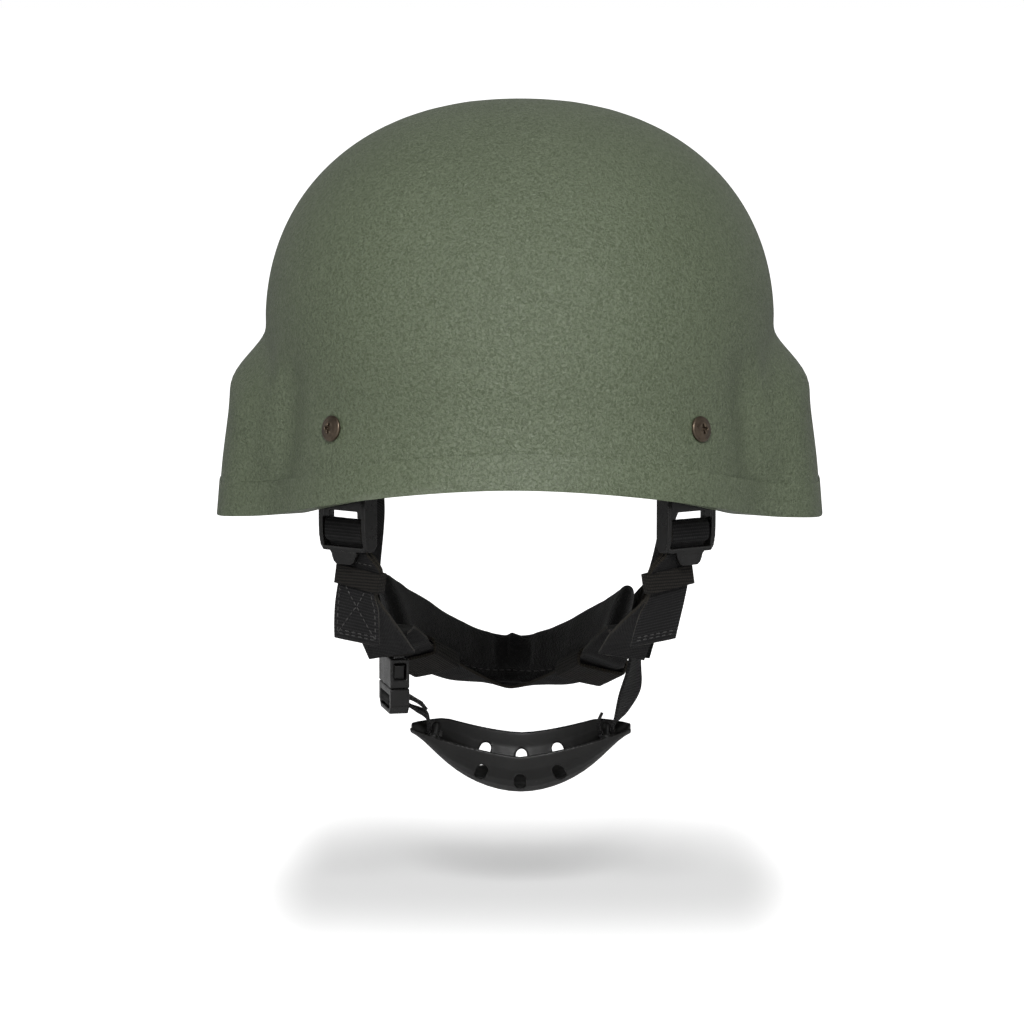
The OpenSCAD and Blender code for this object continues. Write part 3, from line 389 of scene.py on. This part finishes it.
cupPlastic = plasticMaterial("soft cup plastic", (0.0060, 0.0058, 0.0056, 1), (0.0095, 0.0092, 0.0088, 1), 0.46,
                             1300.0, 0.06 * mm)
thread = threadMaterial()
materialOfSlot = {"shell_paint": shellPaint, "trim_rubber": trimPaint, "dark_bronze": bronzeCoat,
                  "hook_tape": hookTape, "pad_cloth": padCloth, "webbing": strapWeb, "elastic_band": elasticWeb,
                  "fleece": fleeceCloth, "moulded_acetal": acetal, "cup_plastic": cupPlastic}
print("materials made")


# Mesh helpers
def mergedMesh(part):
    mesh = bmesh.new()
    mesh.from_mesh(frame["nodes"][part].data)
    bmesh.ops.remove_doubles(mesh, verts=mesh.verts, dist=1e-6)
    return mesh


def newPiece(name, mesh, material):
    data = bpy.data.meshes.new(name)
    mesh.to_mesh(data)
    mesh.free()
    data.materials.clear()
    data.materials.append(material)
    piece = bpy.data.objects.new(name, data)
    scene.collection.objects.link(piece)
    return piece


def modifier(piece, kind, **settings):
    made = piece.modifiers.new(kind.lower(), kind)
    for key, value in settings.items():
        setattr(made, key, value)
    return made


def applyModifiers(piece):
    bpy.context.view_layer.update()
    graph = bpy.context.evaluated_depsgraph_get()
    data = bpy.data.meshes.new_from_object(piece.evaluated_get(graph), preserve_all_data_layers=True,
                                           depsgraph=graph)
    piece.modifiers.clear()
    data.name = piece.name
    piece.data = data


def smoothShade(piece, angle=60):
    piece.data.shade_smooth()
    piece.data.set_sharp_from_angle(angle=math.radians(angle))


def standFor(part):
    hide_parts(part)


def seat(piece, part):
    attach(piece, bodyOfNode[part])
    standFor(part)


# A copy of a hard CAD part in fine cells, eased so that its corners turn round: cell size, rounds
roundSet = {"screws": (0.2 * mm, 3), "post_nuts": (0.3 * mm, 3), "grommets": (0.2 * mm, 3),
            "left_ladderlock": (0.3 * mm, 9), "right_ladderlock": (0.3 * mm, 9), "buckle_socket": (0.3 * mm, 7),
            "buckle_plug": (0.3 * mm, 7), "front_prong": (0.2 * mm, 4), "rear_prong": (0.2 * mm, 4),
            "chin_cup": (0.42 * mm, 14)}


def roundedCopy(part):
    cell, rounds = roundSet[part]
    piece = newPiece(part + "_finished", mergedMesh(part), materialOfSlot[slotOfNode[part]])
    modifier(piece, "REMESH", mode="VOXEL", voxel_size=cell)
    modifier(piece, "SMOOTH", factor=0.5, iterations=rounds)
    applyModifiers(piece)
    piece.data.shade_smooth()
    seat(piece, part)


# A CAD part's mesh with its pairs of triangles joined into four-sided faces
def quadMesh(part):
    mesh = mergedMesh(part)
    bmesh.ops.join_triangles(mesh, faces=mesh.faces, angle_face_threshold=math.radians(60),
                             angle_shape_threshold=math.radians(70))
    return mesh


# The shell: a smooth surface is fitted through the corners of the moulded wall's facets
shellSet = {"centre": Vector((0, 0, -45)) * mm, "columns": 168, "rows": 64, "wall": 8.5 * mm, "outside": 0.3,
            "trimLap": 4 * mm, "bore": 7.5 * mm, "near": 40, "used": 16, "squeeze": 0.55, "level": 0.46,
            "cell": 6 * mm, "seen": 0.4 * mm, "steepest": -1.2}
# The front edge of each ear bulge: a ridge and, ahead of it, a hollow, by angles from the side
earSet = {"ridge": 30, "ridgeHigh": 1.8 * mm, "hollow": 38, "hollowDeep": 2.8 * mm, "breadth": 4.6,
          "top": (-64 * mm, -84 * mm), "foot": (-112 * mm, -128 * mm)}


def clipped(value):
    return max(0.0, min(1.0, value))


def smoothed(value, start, end):
    share = clipped((value - start) / (end - start))
    return share * share * (3 - 2 * share)


def bell(distance, breadth):
    return math.exp(-(distance / breadth) ** 2)


def earRelief(place):
    s = earSet
    angle = math.degrees(math.atan2(-place.y, abs(place.x)))
    held = smoothed(place.z, *s["top"]) * (1 - smoothed(place.z, *s["foot"]))
    return held * (s["ridgeHigh"] * bell(angle - s["ridge"], s["breadth"])
                   - s["hollowDeep"] * bell(angle - s["hollow"], s["breadth"]))


def screwPlaces():
    spots = {}
    for vertex in frame["nodes"]["screws"].data.vertices:
        key = (vertex.co.x > 0, vertex.co.y > 0)
        spots.setdefault(key, []).append(vertex.co)
    return [sum(points, Vector()) / len(points) for points in spots.values()]


def outerCorners(source, tree):
    s = shellSet
    bores = [(bore - s["centre"]).normalized() for bore in screwPlaces()]
    corners = {}
    for v in source.verts:
        arm = v.co - s["centre"]
        way = arm.normalized()
        hit = tree.ray_cast(s["centre"] + way * s["outside"], -way)[0]
        clear = all(arm.cross(bore).length > s["bore"] for bore in bores)
        if hit and clear and (hit - v.co).length < s["seen"]:
            corners.setdefault(tuple(round(c / s["cell"]) for c in v.co), arm)
    return list(corners.values())


# Distance of the wall from the centre along a direction, as a quadratic through the nearest corners
def wallDepth(way, near, corners):
    s = shellSet
    side = way.cross(up)
    side = side.normalized() if side.length > 1e-4 else Vector((1, 0, 0))
    high = side.cross(way)
    found = []
    for _, index, _ in near.find_n(way, s["near"]):
        corner = corners[index]
        size = corner.length
        found.append((corner.dot(side) * s["squeeze"], corner.dot(high), size))
    found.sort(key=lambda f: f[0] ** 2 + f[1] ** 2)
    reads = numpy.array(found[:s["used"]])
    u, v, size = reads.T
    spread = (u[-1] ** 2 + v[-1] ** 2) * s["level"] ** 2
    weight = numpy.sqrt(numpy.exp(-(u ** 2 + v ** 2) / spread))
    terms = numpy.stack([numpy.ones_like(u), u, v, u * u, u * v, v * v], axis=1)
    return float(numpy.linalg.lstsq(terms * weight[:, None], size * weight, rcond=None)[0][0])


def makeShell():
    s = shellSet
    source = mergedMesh("shell")
    tree = BVHTree.FromBMesh(source)
    corners = outerCorners(source, tree)
    source.free()
    near = KDTree(len(corners))
    for index, corner in enumerate(corners):
        near.insert(corner.normalized(), index)
    near.balance()

    def heading(azimuth, rise):
        flat = math.cos(rise)
        return Vector((flat * math.cos(azimuth), flat * math.sin(azimuth), math.sin(rise)))

    def lowest(azimuth):
        high, low = 0.0, s["steepest"]
        for _ in range(24):
            middle = (high + low) / 2
            way = heading(azimuth, middle)
            if tree.ray_cast(s["centre"] + way * s["outside"], -way, s["outside"])[0]:
                high = middle
            else:
                low = middle
        return high + s["trimLap"] / wallDepth(heading(azimuth, high), near, corners)

    mesh = bmesh.new()
    bmesh.ops.create_uvsphere(mesh, u_segments=s["columns"], v_segments=2 * s["rows"], radius=1)
    below = [v for v in mesh.verts if v.co.z < -0.001]
    bmesh.ops.delete(mesh, geom=below, context="VERTS")
    floors = {}
    for v in mesh.verts:
        way = v.co.normalized()
        azimuth = math.atan2(way.y, way.x) if way.z < 0.9999 else 0.0
        key = round(azimuth, 4)
        if key not in floors:
            floors[key] = lowest(azimuth)
        share = 1 - math.asin(max(-1, min(1, way.z))) / (math.pi / 2)
        rise = math.pi / 2 - share * (math.pi / 2 - floors[key])
        aim = heading(azimuth, rise) if way.z < 0.9999 else up
        v.co = s["centre"] + aim * wallDepth(aim, near, corners)
        v.co += aim * earRelief(v.co)
    bmesh.ops.recalc_face_normals(mesh, faces=mesh.faces)
    piece = newPiece("shell_finished", mesh, shellPaint)
    modifier(piece, "SOLIDIFY", thickness=s["wall"], offset=-1, use_even_offset=True)
    modifier(piece, "SUBSURF", levels=1, render_levels=1)
    piece.data.shade_smooth()
    applyModifiers(piece)
    seat(piece, "shell")


makeShell()
print("shell moulded")


# The rubber edge: its length is smoothed and its corners are rounded
trimSet = {"round": 0.3 * mm, "segments": 3, "corner": math.radians(35)}


def makeTrim():
    s = trimSet
    mesh = quadMesh("edge_trim")
    crease = mesh.edges.layers.float.get("crease_edge") or mesh.edges.layers.float.new("crease_edge")
    for edge in mesh.edges:
        if len(edge.link_faces) == 2 and edge.calc_face_angle(0) > s["corner"]:
            edge[crease] = 1.0
    piece = newPiece("edge_trim_finished", mesh, trimPaint)
    modifier(piece, "SUBSURF", levels=2, render_levels=2)
    modifier(piece, "BEVEL", width=s["round"], segments=s["segments"], limit_method="ANGLE",
             profile=0.5, material=-1, angle_limit=s["corner"], harden_normals=True)
    piece.data.shade_smooth()
    applyModifiers(piece)
    seat(piece, "edge_trim")


makeTrim()
for part in ("screws", "post_nuts", "grommets"):
    roundedCopy(part)
print("edge and fasteners made")


# Webbing: the rings of a CAD strap give its middle line, its breadth and its face
webSet = {"thick": 1.4 * mm, "shortest": 11 * mm, "longest": 24.8 * mm, "step": 0.3 * mm, "columns": 12,
          "ribDepth": 0.1 * mm, "rib": 1.25 * mm, "round": 0.35 * mm, "drift": 0.12 * mm, "driftPitch": 60,
          "closeTo": 0.02 * mm}


def strapRings(part):
    mesh = mergedMesh(part)
    partner = {}
    for edge in mesh.edges:
        if abs(edge.calc_length() - webSet["thick"]) < webSet["closeTo"]:
            for corner in edge.verts:
                partner.setdefault(corner, []).append(edge.other_vert(corner))
    rings = []
    owner = {}
    for edge in mesh.edges:
        if not webSet["shortest"] < edge.calc_length() < webSet["longest"]:
            continue
        one, two = edge.verts
        for a in partner.get(one, []):
            for b in partner.get(two, []):
                twin = mesh.edges.get((a, b)) if a != two and b != one else None
                corners = {one, two, a, b}
                if twin and not corners & set(owner) and abs(twin.calc_length() - edge.calc_length()) < 1e-5:
                    for corner in corners:
                        owner[corner] = len(rings)
                    rings.append(((one.co + a.co) / 2, (two.co + b.co) / 2))
    links = [set() for _ in rings]
    for edge in mesh.edges:
        a, b = (owner.get(corner) for corner in edge.verts)
        if a is not None and b is not None and a != b:
            links[a].add(b)
            links[b].add(a)
    mesh.free()
    return [rings[k] for k in joinedRuns(links, [(a + b) / 2 for a, b in rings])]


# Walks from one end to the other; a hole through the strap leaves gaps, which join at their nearest ends
def joinedRuns(links, middles):
    runs = []
    free = set(range(len(links)))
    while free:
        start = next((k for k in sorted(free) if len(links[k]) < 2), min(free))
        run = [start]
        free.discard(start)
        while links[run[-1]] & free:
            run.append(min(links[run[-1]] & free))
            free.discard(run[-1])
        runs.append(run)
    order = max(runs, key=len)
    runs.remove(order)
    while runs:
        best = min(((middles[order[tip]] - middles[run[end]]).length, tip, end, k)
                   for k, run in enumerate(runs) for tip in (0, -1) for end in (0, -1))
        run = runs.pop(best[3])
        ahead = run if best[2] == 0 else run[::-1]
        order = order + ahead if best[1] == -1 else ahead[::-1] + order
    if middles[order[0]].z < middles[order[-1]].z:
        order.reverse()
    return order


# A strap as arrays along its length: place, half of its breadth, and the way its face looks
class Strap:
    def __init__(self, part):
        rings = strapRings(part)
        self.middles = [(a + b) / 2 for a, b in rings]
        self.halves = []
        for a, b in rings:
            half = (a - b) / 2
            guide = self.halves[-1] if self.halves else Vector((1, 0.4, 0.1))
            self.halves.append(half if half.dot(guide) > 0 else -half)
        self.runs = [0.0]
        for a, b in zip(self.middles, self.middles[1:]):
            self.runs.append(self.runs[-1] + (b - a).length)
        self.length = self.runs[-1]

    def slopes(self, values):
        last = len(values) - 1
        return [(values[min(i + 1, last)] - values[max(i - 1, 0)])
                / (self.runs[min(i + 1, last)] - self.runs[max(i - 1, 0)]) for i in range(last + 1)]

    def ready(self):
        self.ways = self.slopes(self.middles)
        self.swings = self.slopes(self.halves)
        return self

    def at(self, run):
        run = max(0.0, min(self.length, run))
        k = min(len(self.runs) - 2, bisect_right(self.runs, run) - 1)
        h = self.runs[k + 1] - self.runs[k]
        t = (run - self.runs[k]) / h
        a, b = 2 * t ** 3 - 3 * t ** 2 + 1, -2 * t ** 3 + 3 * t ** 2
        c, d = (t ** 3 - 2 * t ** 2 + t) * h, (t ** 3 - t ** 2) * h
        middle = self.middles[k] * a + self.middles[k + 1] * b + self.ways[k] * c + self.ways[k + 1] * d
        half = self.halves[k] * a + self.halves[k + 1] * b + self.swings[k] * c + self.swings[k + 1] * d
        way = (self.ways[k] * (1 - t) + self.ways[k + 1] * t).normalized()
        return middle, half, way, way.cross(half).normalized()

    def place(self, run, across, lift=0.0):
        middle, half, way, face = self.at(run)
        return middle + half * across + face * lift


def webbing(part, material=None, seatIt=True, smoothFrom=None, cut=(0, 0)):
    s = webSet
    strap = Strap(part).ready()
    used = strap.length - cut[0] - cut[1]
    steps = int(used / s["step"])
    mesh = bmesh.new()
    weave = mesh.loops.layers.uv.new("weave")
    bmesh.ops.create_grid(mesh, x_segments=steps, y_segments=s["columns"], size=1)
    spread = {}
    stations = {}
    for v in mesh.verts:
        key = round(v.co.x, 6)
        run = cut[0] + (v.co.x + 1) / 2 * used
        if key not in stations:
            stations[key] = strap.at(run)
        middle, half, way, face = stations[key]
        across = v.co.y
        wave = -math.cos(2 * math.pi * run / s["rib"]) * s["ribDepth"] * (1 - abs(across) ** 8)
        drift = noise.noise(Vector((run * s["driftPitch"], across * 2, len(part)))) * s["drift"]
        spread[v] = (run, across * half.length)
        v.co = middle + half * across + face * (wave + drift)
    for face in mesh.faces:
        for loop in face.loops:
            loop[weave].uv = spread[loop.vert]
        if smoothFrom is not None and min(spread[v][0] for v in face.verts) > strap.length - smoothFrom:
            face.material_index = 2
    piece = newPiece(part + "_finished", mesh, material or materialOfSlot[slotOfNode[part]])
    for other in (tanEdge, clothWeb):
        piece.data.materials.append(other)
    modifier(piece, "SOLIDIFY", thickness=s["thick"] - 2 * s["ribDepth"], offset=0, material_offset_rim=1)
    modifier(piece, "BEVEL", width=s["round"], segments=2, limit_method="ANGLE", profile=0.5, material=-1,
             angle_limit=math.radians(50))
    applyModifiers(piece)
    smoothShade(piece)
    if seatIt:
        seat(piece, part)
    return piece, strap


# Stitches: short rounded threads laid along lines given by length along and share across a strap
stitchSet = {"long": 1.7 * mm, "thick": 0.24 * mm, "gap": 0.75 * mm, "sides": 6, "rings": 4}


def stitches(name, spans):
    s = stitchSet
    mesh = bmesh.new()
    for start, end in spans:
        way = end - start
        turn = way.to_track_quat("Z", "Y").to_matrix().to_4x4()
        size = Matrix.Diagonal((s["thick"], s["thick"], way.length / 2, 1))
        bmesh.ops.create_uvsphere(mesh, u_segments=s["sides"], v_segments=s["rings"], radius=1,
                                  matrix=Matrix.Translation((start + end) / 2) @ turn @ size)
    piece = newPiece(name, mesh, thread)
    piece.data.shade_smooth()
    return piece


def strapStitches(name, strap, lines, side):
    s = stitchSet
    lift = webSet["thick"] / 2 * side
    spans = []
    for start, end in lines:
        size = (strap.place(*end) - strap.place(*start)).length
        count = max(2, int(size / (s["long"] + s["gap"])))
        for k in range(count):
            shares = [(k + 0.5) / count + d * s["long"] / size for d in (-0.5, 0.5)]
            spans.append([strap.place(start[0] + (end[0] - start[0]) * share,
                                      start[1] + (end[1] - start[1]) * share, lift) for share in shares])
    return stitches(name, spans)


# The harness straps
for part in ("left_anchor", "right_anchor"):
    webbing(part)
print("anchors woven")

# Spans along each front strap, from its lower end up to the frame; the strap's end over the smooth span is
# woven in fine webbing
giveSet = {"top": 27 * mm, "foot": 70 * mm, "smooth": 46 * mm}
tailSet = {"hem": 2.2 * mm, "row": 1.3 * mm, "box": 26 * mm, "dash": 33 * mm, "edge": 0.84}


def frontStrap(side):
    part = side + "_front_strap"
    piece, strap = webbing(part, seatIt=False, smoothFrom=giveSet["smooth"])
    standFor(part)
    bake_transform(piece)
    return strap


for side in ("left", "right"):
    strap = frontStrap(side)
    end = strap.length if (strap.place(strap.length, 0) - strap.place(0, 0)).y < 0 else 0.0
    inward = -1 if end else 1
    edge = tailSet["edge"]
    foot = end + inward * tailSet["hem"]
    top = end + inward * tailSet["box"]
    face = strap.at(end)[3]
    outward = 1 if face.y < 0 else -1
    row = foot + inward * tailSet["row"]
    lines = [((foot, -edge), (foot, edge)), ((row, -edge), (row, edge))]
    if side == "left":
        dash = end + inward * tailSet["dash"]
        lines += [((foot, -edge), (top, edge)), ((foot, edge), (top, -edge)), ((top, -edge), (top, edge)),
                  ((dash, -edge), (dash, edge)), ((foot, edge), (top, edge)), ((foot, -edge), (top, -edge))]
    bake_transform(strapStitches(side + "_tail_stitches", strap, lines, outward))
print("front straps woven")

for part in ("left_rear_strap", "right_rear_strap", "left_rear_tab", "right_rear_tab", "nape_strap"):
    webbing(part)
for part in ("left_nape_loop", "right_nape_loop"):
    webbing(part, elasticWeb)
print("rear harness woven")

# Chin straps: the right and lower straps are each cut into an upper and a lower piece at a height, from the
# lengths below
chinSet = {"rightTop": 26 * mm, "rightFoot": 9 * mm, "curl": 5 * mm, "tail": 5 * mm,
           "upperGive": 4.5 * mm, "rightGive": 10 * mm}


def cutPiece(piece, height, keepAbove, name):
    mesh = bmesh.new()
    mesh.from_mesh(piece.data)
    bmesh.ops.bisect_plane(mesh, geom=mesh.verts[:] + mesh.edges[:] + mesh.faces[:], plane_co=(0, 0, height),
                           plane_no=(0, 0, 1), clear_inner=keepAbove, clear_outer=not keepAbove)
    half = newPiece(name, mesh, piece.data.materials[0])
    for material in list(piece.data.materials)[1:]:
        half.data.materials.append(material)
    smoothShade(half)
    return half


def splitStrap(part, height, cut):
    whole, _ = webbing(part, seatIt=False, cut=cut)
    high = cutPiece(whole, height, True, part + "_top")
    low = cutPiece(whole, height, False, part + "_foot")
    bpy.data.objects.remove(whole)
    standFor(part)
    standFor(part)
    return high, low


def chinStraps():
    s = chinSet
    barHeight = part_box("lower_chin_strap")[0].z
    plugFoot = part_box("buckle_plug")[0].z
    upper, _ = webbing("upper_chin_strap", seatIt=False)
    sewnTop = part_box("upper_chin_strap")[1].z
    standFor("upper_chin_strap")
    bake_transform(upper)
    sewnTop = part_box("right_chin_strap")[1].z
    split = sewnTop - s["rightGive"]
    high, low = splitStrap("right_chin_strap", split, (0, s["tail"]))
    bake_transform(high)
    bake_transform(low)
    split = (barHeight + s["curl"] + plugFoot) / 2
    high, low = splitStrap("lower_chin_strap", split, (s["tail"], s["tail"] / 2))
    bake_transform(high)
    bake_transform(low)


chinStraps()
print("chin straps woven")

# Elastic keepers, ladderlocks, buckle and cup
keeperSet = {"flat": 0.6, "corner": 28, "round": 0.4 * mm, "segments": 3, "reach": 12 * mm}
for side in ("left", "right"):
    mesh = mergedMesh(side + "_keeper")
    bmesh.ops.dissolve_limit(mesh, angle_limit=math.radians(keeperSet["flat"]), verts=mesh.verts,
                             edges=mesh.edges, use_dissolve_boundaries=False, delimit=set())
    mesh.loops.layers.uv.new("weave")
    keeper = newPiece(side + "_keeper_finished", mesh, elasticWeb)
    modifier(keeper, "BEVEL", width=keeperSet["round"], segments=keeperSet["segments"], limit_method="ANGLE",
             profile=0.5, material=-1, angle_limit=math.radians(keeperSet["corner"]), harden_normals=True)
    keeper.data.shade_smooth()
    applyModifiers(keeper)
    low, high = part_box(side + "_keeper")
    middle = (low + high) / 2
    for polygon in keeper.data.polygons:
        for corner in polygon.loop_indices:
            place = keeper.data.vertices[keeper.data.loops[corner].vertex_index].co - middle
            around = math.atan2(place.y, place.x) * keeperSet["reach"]
            keeper.data.uv_layers["weave"].data[corner].uv = (place.z, around)
    standFor(side + "_keeper")
    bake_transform(keeper)
    roundedCopy(side + "_ladderlock")
for part in ("buckle_socket", "buckle_plug", "front_prong", "rear_prong", "chin_cup"):
    roundedCopy(part)
print("hard parts rounded")


# Pads: the CAD forms rounded and made a little uneven
padSet = {"lump": 0.5 * mm, "lumpPitch": 55, "dimple": 0.2 * mm, "dimplePitch": 140}


def padPiece(part, material, levels=2):
    s = padSet
    mesh = quadMesh(part)
    piece = newPiece(part + "_finished", mesh, material)
    modifier(piece, "SUBSURF", levels=levels, render_levels=levels)
    piece.data.shade_smooth()
    applyModifiers(piece)
    faceWays = [v.normal.copy() for v in piece.data.vertices]
    for v, way in zip(piece.data.vertices, faceWays):
        v.co += way * (noise.noise(v.co * s["lumpPitch"]) * s["lump"]
                       + noise.noise(v.co * s["dimplePitch"]) * s["dimple"])
    seat(piece, part)
    return piece


for part in slotOfNode:
    if slotOfNode[part] == "pad_cloth":
        padPiece(part, padCloth)

# The nape pad is gathered into a fold near its middle and sewn along its lower edge
napeSet = {"fold": -5.0 * mm, "breadth": 2.7 * mm, "rise": 1.5 * mm, "beside": 6.4 * mm, "sink": 1.7 * mm,
           "ends": (-48 * mm, 38 * mm), "hem": 4.3 * mm, "seam": 1.3 * mm, "seamSink": 0.8 * mm,
           "pitch": 3.0 * mm, "stitch": (0.14, 0.86), "crease": 0.6 * mm, "creaseBreadth": 16 * mm,
           "fade": 8 * mm, "sag": 0.9 * mm, "sagBreadth": 24 * mm}


def surfaceTree(piece):
    mesh = bmesh.new()
    mesh.from_mesh(piece.data)
    tree = BVHTree.FromBMesh(mesh)
    mesh.free()
    return tree


def frontHit(tree, x, z):
    return tree.ray_cast(Vector((x, -0.1, z)), Vector((0, 1, 0)))[0]


def lowerEdge(tree, x):
    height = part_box("nape_pad")[0].z
    for _ in range(200):
        hit = frontHit(tree, x, height)
        if hit:
            return hit.z
        height += 0.3 * mm
    return height


def napePad():
    s = napeSet
    piece = padPiece("nape_pad", fleeceCloth, 3)
    tree = surfaceTree(piece)
    low, high = s["ends"]
    count = int((high - low) / s["pitch"])
    places = [low + (high - low) * k / count for k in range(count + 1)]
    edges = [lowerEdge(tree, x) for x in places]
    groups = [edges[max(0, k - 1):k + 2] for k in range(count + 1)]
    edges = [sum(group) / len(group) for group in groups]
    faceWays = [v.normal.copy() for v in piece.data.vertices]

    for v, way in zip(piece.data.vertices, faceWays):
        aside = v.co.x - s["fold"]
        facing = clipped(0.7 - 1.5 * way.y)
        seam = float(numpy.interp(v.co.x, places, edges)) + s["hem"]
        fade = clipped((v.co.z - seam) / s["fade"])
        shift = s["rise"] * bell(aside, s["breadth"])
        shift -= s["sink"] * (bell(aside - s["beside"], s["breadth"]) + bell(aside + s["beside"], s["breadth"]))
        ruck = noise.noise(Vector((v.co.x * 420, v.co.y * 60, v.co.z * 60))) * s["crease"]
        ruck *= bell(aside, s["creaseBreadth"])
        below = clipped((seam - v.co.z) / s["hem"])
        v.co += way * facing * ((shift + ruck) * fade - s["seamSink"] * bell(v.co.z - seam, s["seam"]))
        v.co.z -= s["sag"] * below * bell(aside, s["sagBreadth"])
    tree = surfaceTree(piece)
    spans = []
    for k in range(count):
        ends = []
        for share in s["stitch"]:
            x = places[k] + (places[k + 1] - places[k]) * share
            z = edges[k] + (edges[k + 1] - edges[k]) * share + s["hem"]
            hit = frontHit(tree, x, z)
            if hit:
                ends.append(hit)
        if len(ends) == 2 and (ends[1] - ends[0]).length < 2 * s["pitch"]:
            spans.append(ends)
    sewn = stitches("nape_pad_stitches", spans)
    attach(sewn, bodyOfNode["nape_pad"])


napePad()
print("pads filled")

# CAD parts that still show wear their own materials
for part, obj in frame["nodes"].items():
    if not obj.hide_render:
        obj.data.materials.clear()
        obj.data.materials.append(materialOfSlot[slotOfNode[part]])


# Pale floor, white background and soft light: the floor glows to the camera, less in a painted shadow patch
# below the part
stageSet = {"floor": -302 * mm, "half": 60.0, "paintedShadowGlow": 0.335, "glowFar": 1.05,
            "middle": (4 * mm, 11 * mm, 0), "bar": 83 * mm, "reach": (19.0, 4.4, 0), "fade": (0.08, 1.06),
            "floorTone": 0.75, "around": 0.4, "overhead": 0.16}


def seenDirectly(tree):
    return tree.nodes.new("ShaderNodeLightPath").outputs["Is Camera Ray"]


def makeStage():
    s = stageSet
    mesh = bmesh.new()
    bmesh.ops.create_grid(mesh, x_segments=8, y_segments=8, size=s["half"],
                          matrix=Matrix.Translation((0, 0, s["floor"])))
    material = bpy.data.materials.new("pale floor with painted shadow")
    material.use_nodes = True
    tree = material.node_tree
    tree.nodes.remove(tree.nodes["Principled BSDF"])
    # Below the part the floor's glow is lowered into a painted shadow patch, centred on middle and stretched by
    # bar and reach
    aside = addNode(tree, "VectorMath", {0: objectPlace(tree), 1: s["middle"]}, operation="SUBTRACT")
    parts = addNode(tree, "SeparateXYZ", {"Vector": aside.outputs[0]})
    sideways = maths(tree, "ABSOLUTE", parts.outputs["X"])
    beyond = maths(tree, "MAXIMUM", maths(tree, "SUBTRACT", sideways, s["bar"]))
    joined = addNode(tree, "CombineXYZ", {"X": beyond, "Y": parts.outputs["Y"]})
    drawn = addNode(tree, "VectorMath", {0: joined.outputs[0], 1: s["reach"]}, operation="MULTIPLY")
    away = addNode(tree, "VectorMath", {0: drawn.outputs[0]}, operation="LENGTH").outputs["Value"]
    glowWithPaintedShadow = addNode(tree, "MapRange", {"Value": away, "From Min": s["fade"][0], "From Max": s["fade"][1],
                                      "To Min": s["paintedShadowGlow"], "To Max": s["glowFar"]},
                   interpolation_type="SMOOTHSTEP").outputs[0]
    matt = addNode(tree, "BsdfDiffuse", {"Color": (s["floorTone"],) * 3 + (1,)})
    shown = maths(tree, "MULTIPLY", seenDirectly(tree), glowWithPaintedShadow)
    shine = addNode(tree, "Emission", {"Color": (1, 1, 1, 1), "Strength": shown})
    both = addNode(tree, "AddShader", {0: matt.outputs[0], 1: shine.outputs[0]})
    tree.links.new(both.outputs[0], tree.nodes["Material Output"].inputs["Surface"])
    floor = newPiece("floor", mesh, material)
    world = bpy.data.worlds.new("studio")
    scene.world = world
    world.use_nodes = True
    tree = world.node_tree
    way = tree.nodes.new("ShaderNodeTexCoord").outputs["Generated"]
    parts = addNode(tree, "SeparateXYZ", {"Vector": way})
    soft = addNode(tree, "MapRange", {"Value": parts.outputs["Z"], "To Min": s["around"],
                                      "To Max": s["overhead"]})
    strength = addNode(tree, "MapRange", {"Value": seenDirectly(tree), "To Min": soft.outputs[0],
                                          "To Max": 1.0})
    tree.links.new(strength.outputs[0], tree.nodes["Background"].inputs["Strength"])
    tree.nodes["Background"].inputs["Color"].default_value = (1, 1, 1, 1)


lamps = [  # name, place, aim, breadth, depth, power
    ("front", (0.05, -1.7, 1.05), (0, 0, -0.08), 0.4, 0.9, 26.5),
    ("fill", (0.0, -2.0, -0.05), (0, 0, -0.15), 0.5, 0.5, 3.0),
    ("top", (0.0, 0.0, 1.6), (0, 0, 0), 0.3, 1.7, 3.5),
    ("left", (-2.2, -0.5, 0.1), (0, 0, -0.12), 0.8, 1.0, 2.2),
    ("right", (2.2, -0.5, 0.1), (0, 0, -0.12), 0.8, 1.0, 2.2),
]


def makeLamps():
    for name, place, aim, breadth, depth, power in lamps:
        data = bpy.data.lights.new(name, "AREA")
        data.shape = "RECTANGLE"
        data.size = breadth
        data.size_y = depth
        data.energy = power
        lamp = bpy.data.objects.new(name, data)
        scene.collection.objects.link(lamp)
        lamp.location = place
        lamp.rotation_euler = (Vector(aim) - Vector(place)).to_track_quat("-Z", "Y").to_euler()


makeStage()
makeLamps()
bpy.context.view_layer.update()
print("stage and light ready")
